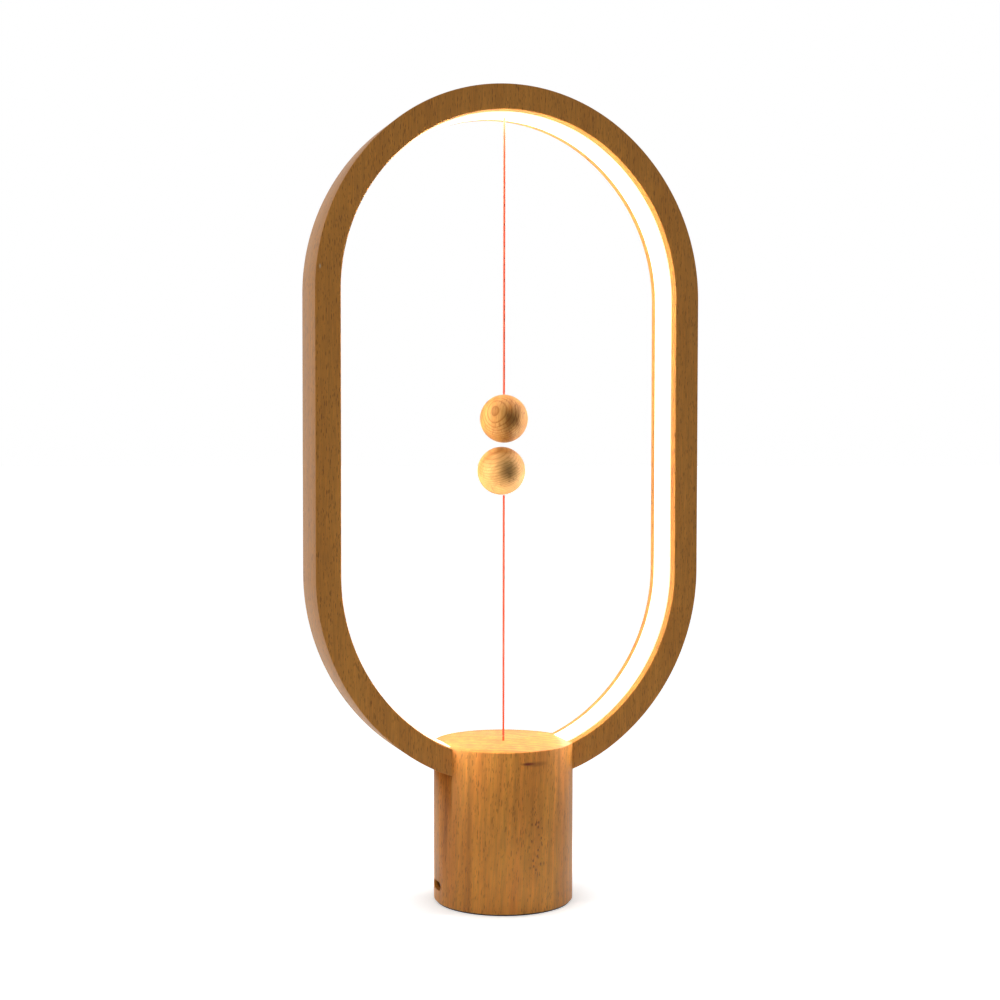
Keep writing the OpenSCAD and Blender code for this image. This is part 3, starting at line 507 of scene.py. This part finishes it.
# A patch of small reddish spots on the front, below the knot
spot_cells = add(tree, "ShaderNodeMapping", {"Vector": place, "Scale": (620, 620, 380)})
spots = add(tree, "ShaderNodeTexVoronoi", {"Vector": spot_cells, "Scale": 1.0})
round_spot = add(tree, "ShaderNodeMapRange", {"Value": spots, "From Min": 0.38, "From Max": 0.12})
patch = faded(tree, place, (0.0061, -0.0345, 0.034), (0.0062, 0.004, 0.03), 0.17, 0.9, solid=0.4)
red = add(tree, "ShaderNodeMath", {0: round_spot, 1: patch}, operation="MULTIPLY")
shade = add(tree, "ShaderNodeMix", {0: red, 6: shade, 7: colour("#7C3C18")}, data_type="RGBA")
fill(shader, {"Base Color": shade})


def softened(node, name, material, body, slot_name, width):
    """A CAD piece as one closed mesh with its sharp edges eased by a small bevel."""
    shape = bmesh.new()
    shape.from_mesh(nodes[node].data)
    bmesh.ops.remove_doubles(shape, verts=shape.verts, dist=2e-6)
    shape.normal_update()
    level = [e for e in shape.edges if all(abs(f.normal.z) > 0.9999 for f in e.link_faces)]
    bmesh.ops.dissolve_limit(shape, angle_limit=math.radians(0.5), verts=[],
                             edges=shape.edges if width else level)
    mesh = bpy.data.meshes.new(name)
    shape.to_mesh(mesh)
    shape.free()
    piece = new_object(name, mesh)
    if width:
        ease = piece.modifiers.new("ease", "BEVEL")
        ease.width, ease.segments, ease.limit_method = width, 2, "ANGLE"
        ease.angle_limit = math.radians(40)
        ease.use_clamp_overlap = True
        keep_made(piece)
    finish_piece(piece, node, material, body, slot_name)


# Its rims are eased in the CAD, so it takes no bevel
softened("base_body", "base", beech_base, "lamp", "beech_base", 0.0)


# Balls
# Beech, turned and sanded smooth. Each has a magnet under a plug on the side that faces the
# other ball, and its thread comes out of a small hole on the far side, past a hole for the knot.
ball_r = 0.012
lean = math.radians(6)
nod_z = 0.2032
hole_r = 0.0007
mouth_r = 0.001
mouth_z = -0.0114
knot_r = 0.0018
knot_z = 0.0014
seat_r = 0.0041
seat_z = 0.005


def leaned(point):
    """A place on the lower ball, turned about the point it nods about."""
    x, y, z = point[0], point[1], point[2] - nod_z
    across, up = math.cos(lean), math.sin(lean)
    return (x * across - z * up, y, nod_z + x * up + z * across)


# The upper ball was turned from a billet whose growth rings meet its front as closed loops,
# and the lower one from a billet whose rings cross it nearly level.
looped_beech = beech(
    "sanded_beech_looped", "#BC9050", "#9C682E", "#643610", pith=(-38.5, -54.3, 263.7),
    middle=(0, 0, 242), along=(0.179, 0.253, 0.951), ring_gap=1.35, fleck_share=0.55,
    fleck_depth=0.7, line_depth=0.72, end_lines=0.72, polish=0.55, sheen=0.2,
    line_tint="#7A4412", line_start=0.62
)[0]
level_beech = beech(
    "sanded_beech_level", "#CAA064", "#AC783E", "#6A3E18", pith=(30, 20, 150),
    middle=(-1.3, 0, 216), along=(0.9, -0.15, 0.38), ring_gap=1.2, fleck_share=0.4,
    fleck_depth=0.5, line_depth=0.5, end_lines=0.5, polish=0.55, sheen=0.2,
    line_tint="#8A5624", line_start=0.55
)[0]
# Half a ball's section, from its thread hole round its outside to its magnet's seat
profile = [(hole_r, knot_z), (hole_r, mouth_z), (mouth_r, -math.sqrt(ball_r**2 - mouth_r**2))]
first_a = math.asin(mouth_r / ball_r)
last_a = math.pi - math.asin(seat_r / ball_r)
steps = 48
for i in range(1, steps + 1):
    a = first_a + (last_a - first_a) * i / steps
    profile.append((ball_r * math.sin(a), -ball_r * math.cos(a)))
profile += [(seat_r, seat_z), (knot_r, seat_z), (knot_r, knot_z)]
for name, node, up, middle, wood in (
    ("ball_upper", "upper_ball", -1, 0.242, looped_beech),
    ("ball_lower", "lower_ball", 1, 0.216, level_beech),
):
    verts, turns = [], 96
    for r, z in profile:
        for k in range(turns):
            a = 2 * math.pi * k / turns
            point = (r * math.cos(a), r * math.sin(a), middle + up * z)
            verts.append(leaned(point) if up > 0 else point)
    faces = tube_faces(len(profile), turns, looped=True)
    put_together(name, verts, faces, node, wood, node, "beech_ball")
dress(["upper_ball_plug"], looped_beech)
dress(["lower_ball_plug"], level_beech)


# Magnets, knots and bead
# Each ball holds a nickel plated disc magnet, and its thread ends there in an overhand knot. The
# lower thread ends inside the base in a crimped brass bead.
def varied(tree, shader, share, pale, deep, gloss, strength, depth):
    """A surface whose colour, gloss and relief all follow one pattern."""
    mixed = add(tree, "ShaderNodeMix", {0: share, 6: colour(pale), 7: colour(deep)}, data_type="RGBA")
    rough = add(tree, "ShaderNodeMapRange", {"Value": share, "To Min": gloss[0], "To Max": gloss[1]})
    relief = add(tree, "ShaderNodeBump", {"Strength": strength, "Distance": depth, "Height": share})
    fill(shader, {"Base Color": mixed, "Roughness": rough, "Normal": relief})


def metal(name, pale, deep, rough, grit):
    """A metal whose colour and gloss vary a little. The grit is the size of its texture in mm."""
    made, tree, shader, place = new_material(name, Metallic=1.0, Roughness=rough)
    cloud = add(tree, "ShaderNodeTexNoise", {"Vector": place, "Scale": 1000 / grit, "Detail": 4.0})
    varied(tree, shader, cloud, pale, deep, (rough - 0.1, rough + 0.15), 0.3, 0.00001)
    return made


# Nickel plate: bright and a little yellow, with a faint satin from tumbling.
nickel_plate = metal("bright_nickel_plate", "#CFCBC2", "#B9B4AA", 0.22, 0.8)
# Drawn brass: warm, slightly dulled.
drawn_brass = metal("drawn_brass", "#D0AC5E", "#B08C42", 0.32, 0.6)
softened("upper_magnet", "magnet_upper", nickel_plate, "upper_ball", "magnet_nickel", 0.00025)
softened("lower_magnet", "magnet_lower", nickel_plate, "lower_ball", "magnet_nickel", 0.00025)
dress(["pull_bead", "anchor_ferrule"], drawn_brass)


def circle(middle, side, other, radius, count):
    """Points round a middle, in the plane of two directions."""
    turns = (2 * math.pi * k / count for k in range(count))
    return [middle + (side * math.cos(a) + other * math.sin(a)) * radius for a in turns]


def knotted(name, node, body, low, stop, tilted):
    """A thread that ends in a small tight knot, which fills the knot's hole in the ball."""
    loop_r, loop_swing, loop_rise, strand_r = 0.00072, 0.00030, 0.00062, 0.00048
    route = [Vector((0, 0, low + (stop - low) * i / 24)) for i in range(25)]
    loops = []
    for i in range(72):
        a = 2 * math.pi * i / 72
        r = loop_r + loop_swing * math.cos(3 * a)
        loops.append(Vector((r * math.cos(2 * a), r * math.sin(2 * a), loop_rise * math.sin(3 * a))))
    knot_middle = Vector((0, 0, stop))
    verts, faces, sides = [], [], 10
    for points, radius, closed in (
        (route, thread_r, False), ([knot_middle + p for p in loops], strand_r, True),
    ):
        last = len(points)
        faces += tube_faces(last, sides, len(verts), looped=closed)
        for i, point in enumerate(points):
            after, before = points[(i + 1) % last], points[i - 1]
            if not closed:
                after, before = points[min(i + 1, last - 1)], points[max(i - 1, 0)]
            way = (after - before).normalized()
            side = way.cross(Vector((0.31, 0.87, 0.38))).normalized()
            verts += circle(point, side, way.cross(side), radius, sides)
    if tilted:
        verts = [leaned(v) for v in verts]
    put_together(name, verts, faces, node, coral_cord, body, "coral_thread")


low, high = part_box("upper_knot")
knotted("knot_upper", "upper_knot", "upper_ball", high.z, low.z + 0.0017, False)
knotted("knot_lower", "lower_knot", "lower_ball", nod_z + 0.00105, nod_z + 0.0159, True)


# Light tape
# A flexible white tape lies on the floor of the ring's channel, behind the diffuser, with a warm
# light chip every 16.7 mm, each a white case round a pool of yellow phosphor.
def moulded(name, pale, deep, rough, grain, depth=0.00002):
    """A plastic or rubber with a fine grain in its mould. The grain is its size in mm."""
    made, tree, shader, place = new_material(name, Roughness=rough)
    grit = add(tree, "ShaderNodeTexNoise", {"Vector": place, "Scale": 1000 / grain, "Detail": 3.0})
    varied(tree, shader, grit, pale, deep, (rough - 0.08, rough + 0.1), 0.4, depth)
    return made


def solids(node):
    """The separate solids of a CAD piece, each as its points and its faces' directions."""
    shape = bmesh.new()
    shape.from_mesh(nodes[node].data)
    bmesh.ops.remove_doubles(shape, verts=shape.verts, dist=1e-6)
    waiting, found = set(shape.verts), []
    for seed in list(shape.verts):
        if seed not in waiting:
            continue
        waiting.discard(seed)
        part, edge = [seed], [seed]
        while edge:
            for link in edge.pop().link_edges:
                for other in link.verts:
                    if other in waiting:
                        waiting.discard(other)
                        part.append(other)
                        edge.append(other)
        ways = [tuple(f.normal) for f in {f for v in part for f in v.link_faces}]
        found.append(([v.co.copy() for v in part], ways))
    shape.free()
    return found


def set_at(name, places, shape, node, material, slot_name):
    """Copies one shape to its places with Geometry Nodes. A place is a point and the way that
    the shape's own Z axis looks there."""
    points = bpy.data.meshes.new(name)
    points.from_pydata([tuple(point) for point, way in places], [], [])
    looks = points.attributes.new("looks", "FLOAT_VECTOR", "POINT")
    for held, (point, way) in zip(looks.data, places):
        held.vector = tuple(way)
    piece = new_object(name, points)
    layout, given = node_group(name + "_layout", "Places", "Fittings", (
        ("Fitting", "Object"), ("Finish", "Material")))
    one = add(layout, "GeometryNodeObjectInfo", {"Object": given["Fitting"]}).outputs["Geometry"]
    spots = add(layout, "GeometryNodeMeshToPoints", {"Mesh": given["Places"]})
    way = add(layout, "GeometryNodeInputNamedAttribute", {"Name": "looks"}, data_type="FLOAT_VECTOR")
    turned = add(layout, "FunctionNodeAlignRotationToVector", {"Vector": way}, axis="Z")
    placed = add(layout, "GeometryNodeInstanceOnPoints", {
        "Points": spots, "Instance": one, "Rotation": turned})
    pattern = new_object(name + "_one", shape)
    run_group(piece, layout, given, placed, {"Fitting": pattern, "Finish": material})
    bpy.data.objects.remove(pattern)
    finish_piece(piece, node, material, "lamp", slot_name)


# Solder mask on thin film: flat white, faintly uneven.
tape_white = moulded("white_solder_mask", "#F1EEE4", "#E4DFD2", 0.5, 0.5)
dress(["led_tape"], tape_white)
# Phosphor in silicone: deep yellow, a little glossy, over a white moulded case.
chip_finish, tree, shader, place = new_material("phosphor_light_chip", Roughness=0.35)
crumb = add(tree, "ShaderNodeTexVoronoi", {"Vector": place, "Scale": 6000.0})
warm = add(tree, "ShaderNodeMix", {0: crumb, 6: colour("#F2D465"), 7: colour("#E5BC48")},
           data_type="RGBA")
feel = add(tree, "ShaderNodeBump", {"Strength": 0.3, "Distance": 0.00002, "Height": crumb})
fill(shader, {"Base Color": warm, "Normal": feel})

# One chip: a square case with eased edges, and a round pool sunk in its top
chip_shape = bmesh.new()
corners = [
    [chip_shape.verts.new((sx * half, sy * half, height))
     for sx, sy in ((-1, -1), (1, -1), (1, 1), (-1, 1))]
    for half, height in ((0.0024, -0.0008), (0.0025, -0.0007), (0.0025, 0.0007), (0.0024, 0.0008))
]
for low_ring, high_ring in zip(corners, corners[1:]):
    for k in range(4):
        n = (k + 1) % 4
        chip_shape.faces.new((low_ring[k], low_ring[n], high_ring[n], high_ring[k]))
chip_shape.faces.new(reversed(corners[0]))
pool_top, pool_low = (
    [chip_shape.verts.new((r * math.cos(a), r * math.sin(a), height))
     for a in (math.pi * (k / 8 + 0.125) for k in range(16))]
    for r, height in ((0.0021, 0.0008), (0.0018, 0.00055))
)
for k in range(16):
    n = (k + 1) % 16
    chip_shape.faces.new((pool_top[k], pool_top[n], pool_low[n], pool_low[k]))
    side, after = (k + 2) // 4 % 4, (n + 2) // 4 % 4
    nearest = corners[3][(side + 2) % 4]
    chip_shape.faces.new((nearest, pool_top[n], pool_top[k]))
    if after != side:
        chip_shape.faces.new((nearest, corners[3][(after + 2) % 4], pool_top[n]))
chip_shape.faces.new(pool_low)
chip_mesh = bpy.data.meshes.new("light_chip")
bmesh.ops.recalc_face_normals(chip_shape, faces=chip_shape.faces)
chip_shape.to_mesh(chip_mesh)
chip_shape.free()

middle_of_ring = Vector((0, 0, 0.234))
chip_places = []
for points, ways in solids("led_chips"):
    spot = sum(points, Vector()) / len(points)
    thin = Vector(min(ways, key=lambda w: max(Vector(w).dot(p - spot) for p in points)))
    chip_places.append((spot, thin if thin.dot(middle_of_ring - spot) > 0 else -thin))
set_at("light_chips", chip_places, chip_mesh, "led_chips", chip_finish, "chip_plastic")


# Screws
# Zinc plated steel screws with pan heads and a cross recess. Four hold the ring's ends, and the
# rest hold the bracket, the ballast, the board and the cover. Only the board's point down.
zinc_plate = metal("zinc_plated_steel", "#B4B6B9", "#94969A", 0.36, 0.5)


def screw_shape(name, shank_r, length, head_r, head_h):
    """A screw that points up from z = 0, its domed head below, with a helical thread."""
    sides, pitch = 16, 0.0009
    rows = [([r] * sides, z) for r, z in (
        (head_r * 0.55, -head_h), (head_r * 0.85, -head_h * 0.9), (head_r, -head_h * 0.6),
        (head_r, -head_h * 0.15), (head_r * 0.97, 0), (shank_r * 0.9, 0))]
    z = 0.0002
    while z < length - 0.0001:
        taper = min(1.0, max(0.18, (length - z) / (shank_r * 1.2)))
        crests = (1 - abs((z / pitch - k / sides) % 1 * 2 - 1) for k in range(sides))
        rows.append(([shank_r * taper * (0.78 + 0.22 * crest) for crest in crests], z))
        z += pitch / 4
    rows.append(([shank_r * 0.12] * sides, length))
    shape = bmesh.new()
    made = []
    for radii, height in rows:
        for k, r in enumerate(radii):
            a = 2 * math.pi * k / sides
            made.append(shape.verts.new((r * math.cos(a), r * math.sin(a), height)))
    for face in tube_faces(len(rows), sides, open_start=True):
        shape.faces.new([made[i] for i in face])
    # The end of the head, with the cross sunk in it
    deep, arm, half = -head_h * 0.45, head_r * 0.42, head_r * 0.11
    cross = [(arm, -half), (arm, half), (half, half), (half, arm), (-half, arm), (-half, half),
             (-arm, half), (-arm, -half), (-half, -half), (-half, -arm), (half, -arm), (half, -half)]
    top = [shape.verts.new((x, y, -head_h)) for x, y in cross]
    low = [shape.verts.new((x * 0.8, y * 0.8, deep)) for x, y in cross]
    for i in range(12):
        n = (i + 1) % 12
        shape.faces.new((top[i], top[n], low[n], low[i]))
    shape.faces.new(low)
    rim_edges = [shape.edges.get((made[k], made[(k + 1) % sides])) for k in range(sides)]
    cross_edges = [shape.edges.get((top[i], top[(i + 1) % 12])) for i in range(12)]
    bmesh.ops.triangle_fill(shape, edges=rim_edges + cross_edges, use_beauty=True)
    bmesh.ops.recalc_face_normals(shape, faces=shape.faces)
    mesh = bpy.data.meshes.new(name)
    shape.to_mesh(mesh)
    shape.free()
    return mesh


# Each with its shank's radius, its length under the head, and its head's radius and height
for name, node, size, down in (
    ("ring_screws", "leg_screws", (0.0015, 0.012, 0.00275, 0.002), False),
    ("bracket_fixings", "bracket_screws", (0.00125, 0.009, 0.0022, 0.0014), False),
    ("ballast_fixings", "ballast_screws", (0.0015, 0.018, 0.00275, 0.002), False),
    ("board_fixings", "board_screws", (0.001, 0.0036, 0.0019, 0.0014), True),
    ("cover_fixings", "cover_screws", (0.0011, 0.011, 0.002, 0.0012), False),
):
    places, head_h = [], size[3]
    for points, ways in solids(node):
        low = Vector(min(p[i] for p in points) for i in range(3))
        high = Vector(max(p[i] for p in points) for i in range(3))
        axis = (low + high) / 2
        seat = high.z - head_h if down else low.z + head_h
        places.append(((axis.x, axis.y, seat), (0, 0, -1 if down else 1)))
    set_at(name, places, screw_shape(name + "_shape", *size), node, zinc_plate, "zinc_steel")


# Pull switch
# A small snap switch hangs upside down in the chamber on a bent steel bracket. The bead on the
# thread lifts the free end of its sheet lever, which presses the red button up into the case.
# Glass filled nylon: black, with a fine sparkled grain from its mould.
black_moulding = moulded("black_moulded_nylon", "#1C1C1D", "#2A2A2B", 0.5, 0.25)
# Acetal: red and waxy. Natural nylon: cream, duller.
red_moulding = moulded("red_moulded_acetal", "#B5352B", "#8F241C", 0.32, 0.4)
natural_nylon = moulded("natural_nylon", "#ECE7DB", "#DAD3C2", 0.45, 0.5)
softened("switch_body", "switch_case", black_moulding, "lamp", "black_plastic", 0.0001)
softened("switch_bracket", "bracket", zinc_plate, "lamp", "zinc_steel", 0.0001)
softened("switch_terminals", "terminals", drawn_brass, "lamp", "brass", 0.00008)
dress(["switch_button"], red_moulding)
dress(["switch_lever", "lever_pin", "switch_screws", "power_socket"], zinc_plate)
dress(["thread_bush"], natural_nylon)


# Ballast
# A cast iron disc under the switch keeps the lamp steady, painted dark grey against rust. Screws
# hold it to the base from below, and the wires pass down through the hole in its middle.
painted_iron, tree, shader, place = new_material("painted_cast_iron", Roughness=0.6)
lumps = add(tree, "ShaderNodeTexNoise", {
    "Vector": place, "Scale": 700.0, "Detail": 5.0, "Roughness": 0.6})
pits = add(tree, "ShaderNodeTexVoronoi", {"Vector": place, "Scale": 900.0})
coat = add(tree, "ShaderNodeMix", {0: lumps, 6: colour("#5E6164"), 7: colour("#43464A")},
           data_type="RGBA")
worn_paint = add(tree, "ShaderNodeMapRange", {"Value": lumps, "To Min": 0.45, "To Max": 0.75})
cast = add(tree, "ShaderNodeMath", {0: lumps, 1: pits}, operation="ADD")
skin = add(tree, "ShaderNodeBump", {"Strength": 0.5, "Distance": 0.0001, "Height": cast})
fill(shader, {"Base Color": coat, "Roughness": worn_paint, "Normal": skin})
softened("ballast_disc", "ballast", painted_iron, "lamp", "iron_cast", 0.0005)


# Driver board
# A round board on four posts drives the light. Its tongue carries the power socket into the
# base's wall, and its copper tracks show as paler lines under the green mask.
masked_board, tree, shader, place = new_material("green_solder_mask_board", Roughness=0.35)
in_mm = add(tree, "ShaderNodeMapping", {"Vector": place, "Scale": (1000, 1000, 1000)})
# Fields some 6 mm across, most of them filled with tracks 1.1 mm apart along X or along Y
fields = add(tree, "ShaderNodeTexVoronoi", {"Vector": in_mm, "Scale": 0.16}, distance="CHEBYCHEV")
which = add(tree, "ShaderNodeSeparateXYZ", {0: fields.outputs["Color"]}).outputs
either = add(tree, "ShaderNodeMath", {0: which[0], 1: 0.5}, operation="GREATER_THAN")
board_axes = add(tree, "ShaderNodeSeparateXYZ", {0: in_mm}).outputs
run = add(tree, "ShaderNodeMix", {0: either, 2: board_axes[0], 3: board_axes[1]}, data_type="FLOAT")
count = add(tree, "ShaderNodeMath", {0: run, 1: 0.9}, operation="MULTIPLY")
comb = add(tree, "ShaderNodeMath", {0: count}, operation="FRACT")
track = add(tree, "ShaderNodeMath", {0: comb, 1: 0.34}, operation="LESS_THAN")
laid = add(tree, "ShaderNodeMath", {0: which[1], 1: 0.35}, operation="GREATER_THAN")
copper = add(tree, "ShaderNodeMath", {0: track, 1: laid}, operation="MULTIPLY")
masked = add(tree, "ShaderNodeMix", {0: copper, 6: colour("#2A6641"), 7: colour("#438A5E")},
             data_type="RGBA")
weave = add(tree, "ShaderNodeTexNoise", {"Vector": place, "Scale": 2500.0, "Detail": 2.0})
mask_gloss = add(tree, "ShaderNodeMapRange", {"Value": weave, "To Min": 0.25, "To Max": 0.45})
raised = add(tree, "ShaderNodeMath", {0: copper, 1: weave}, operation="ADD")
relief = add(tree, "ShaderNodeBump", {"Strength": 0.4, "Distance": 0.00003, "Height": raised})
fill(shader, {"Base Color": masked, "Roughness": mask_gloss, "Normal": relief})
softened("circuit_board", "board", masked_board, "lamp", "board_green", 0.00008)
softened("board_components", "board_parts", black_moulding, "lamp", "black_plastic", 0.00012)


# Lead wires
# Stranded copper in a soft plastic jacket: a red pair runs from the light tape and a black pair
# from the switch, down through the ballast's hole to the board. Places are in millimetres.
wire_r = 0.00057
bend_reach = 0.0016


def jacket(name, pale, deep):
    """Soft shiny plastic over strands, which show through it as a faint twist."""
    made, tree, shader, place = new_material(name, Roughness=0.35)
    axes = add(tree, "ShaderNodeSeparateXYZ", {0: place}).outputs
    slant = add(tree, "ShaderNodeMath", {0: axes[0], 1: axes[2]}, operation="ADD")
    lay = add(tree, "ShaderNodeMath", {0: slant, 1: 5200.0}, operation="MULTIPLY")
    twist = add(tree, "ShaderNodeMath", {0: lay}, operation="SINE")
    share = add(tree, "ShaderNodeMapRange", {"Value": twist, "From Min": -1.0})
    varied(tree, shader, share, pale, deep, (0.3, 0.42), 0.25, 0.00002)
    return made


def led_route(y):
    """From the tape's end in the ring's foot, down the chamber's wall, to the board."""
    return [(-17.27, y, 68.39), (-12.77, y, 68.19), (-11.27, y, 58.0), (-11.27, y, 40.7),
            (-5.5, y, 35.7), (-5.5, y, 7.95)]


def switch_route(blade_x, x):
    """From a switch blade, out past the case, to the board."""
    return [(blade_x, 0, 55.6), (blade_x, -5.3, 55.6), (x, -5.3, 47.5), (x, -4.5, 36.7),
            (x, -4.5, 7.95)]


def wires(name, node, routes, material, slot_name):
    """Round wires along their routes, with the bends eased."""
    verts, faces, sides = [], [], 12
    for route in routes:
        points = [Vector(p) / 1000 for p in route]
        eased = [points[0]]
        for before, here, after in zip(points, points[1:], points[2:]):
            reach = min(bend_reach, (here - before).length * 0.45, (after - here).length * 0.45)
            start = here + (before - here).normalized() * reach
            stop = here + (after - here).normalized() * reach
            for i in range(7):
                t = i / 6
                eased.append(start * (1 - t) ** 2 + here * 2 * t * (1 - t) + stop * t**2)
        eased.append(points[-1])
        faces += tube_faces(len(eased), sides, len(verts))
        side = None
        for i, point in enumerate(eased):
            way = (eased[min(i + 1, len(eased) - 1)] - eased[max(i - 1, 0)]).normalized()
            if side is None:
                side = way.orthogonal().normalized()
            side = (side - way * side.dot(way)).normalized()
            verts += circle(point, side, way.cross(side), wire_r, sides)
    put_together(name, verts, faces, node, material, "lamp", slot_name)


red_jacket = jacket("red_wire_jacket", "#C8402F", "#A93224")
black_jacket = jacket("black_wire_jacket", "#2A2A2B", "#1B1B1C")
wires("light_wires", "led_leads", [led_route(-1.5), led_route(1.5)], red_jacket, "wire_red")
wires("switch_wires", "switch_leads", [switch_route(2.92, 1.0), switch_route(8.0, 4.0)],
      black_jacket, "wire_black")


# Cover and pad
# A moulded cover closes the base from below, and a thin soft pad is stuck under the whole base.
# Both are dark, and from outside only the pad's edge shows.
cover_moulding = moulded("grey_moulded_cover", "#3C3C3D", "#303031", 0.55, 0.4)
pad_rubber = moulded("foamed_rubber_pad", "#3A3836", "#2B2928", 0.85, 0.3, depth=0.00008)
softened("bottom_cover", "cover", cover_moulding, "lamp", "black_plastic", 0.0002)
softened("foot_pad", "pad", pad_rubber, "lamp", "pad_rubber", 0.0002)


# Floor, backdrop and light
# The floor and the world are white to the camera, and give the lamp much less light than that.
# The floor keeps the lamp's real shadow, and its glow to the camera is dimmed close round the base by
# ambient occlusion: a painted contact shadow. Three soft panels light the lamp.
def looked_at(tree):
    """1 where the camera looks, straight or by way of something shiny or clear."""
    rays = add(tree, "ShaderNodeLightPath").outputs
    direct = add(tree, "ShaderNodeMath", {0: rays["Is Camera Ray"], 1: rays["Is Glossy Ray"]},
                 operation="MAXIMUM")
    return add(tree, "ShaderNodeMath", {0: direct, 1: rays["Is Transmission Ray"]},
               operation="MAXIMUM")


floor_half = 30
floor_paint, tree, shader, place = new_material(
    "pale_floor", Base_Color=colour("#D9E3EF"), Roughness=0.9, Emission_Color=(1, 1, 1, 1)
)
# Painted contact shadow: the floor's glow fades where the base stands close
touch = add(tree, "ShaderNodeAmbientOcclusion", {"Distance": 0.02}, samples=8).outputs["AO"]
floor_glow_painted_shadow = add(tree, "ShaderNodeMapRange", {
    "Value": touch, "From Min": 0.45, "To Min": 0.5, "To Max": 0.86})
lift = add(tree, "ShaderNodeMath", {0: looked_at(tree), 1: floor_glow_painted_shadow}, operation="MULTIPLY")
fill(shader, {"Emission Strength": lift})
floor_mesh = bpy.data.meshes.new("floor")
floor_corners = [(x * floor_half, y * floor_half, 0) for x, y in ((-1, -1), (1, -1), (1, 1), (-1, 1))]
floor_mesh.from_pydata(floor_corners, [], [(0, 1, 2, 3)])
floor_mesh.materials.append(floor_paint)
floor = new_object("floor", floor_mesh)

world = bpy.data.worlds.new("studio")
bpy.context.scene.world = world
world.use_nodes = True
tree = world.node_tree
tree.nodes.clear()
shown = looked_at(tree)
level = add(tree, "ShaderNodeMapRange", {"Value": shown, "To Min": 0.18, "To Max": 1.0})
warmth = add(tree, "ShaderNodeMix", {0: shown, 6: colour("#FFF6EA"), 7: (1, 1, 1, 1)},
             data_type="RGBA")
sky = add(tree, "ShaderNodeBackground", {"Color": warmth, "Strength": level})
add(tree, "ShaderNodeOutputWorld", {0: sky})

# Each panel with its place, its size in metres and its power in watts, turned to the lamp
lamp_middle = Vector((0, 0, 0.2))
for name, spot, size, power, tint in (
    ("key_panel", (-0.9, -1.1, 1.3), 0.9, 3.35, "#FFF3E4"),
    ("left_panel", (-1.3, 0.1, 0.5), 0.8, 3.2, "#FFF3E2"),
    ("right_panel", (1.3, 0.0, 0.6), 0.8, 2.5, "#FFF3E2"),
):
    panel = new_object(name, bpy.data.lights.new(name, "AREA"))
    panel.data.shape, panel.data.size, panel.data.energy = "SQUARE", size, power
    panel.data.color = colour(tint)[:3]
    panel.location = spot
    panel.rotation_mode = "QUATERNION"
    panel.rotation_quaternion = (lamp_middle - Vector(spot)).to_track_quat("-Z", "Y")
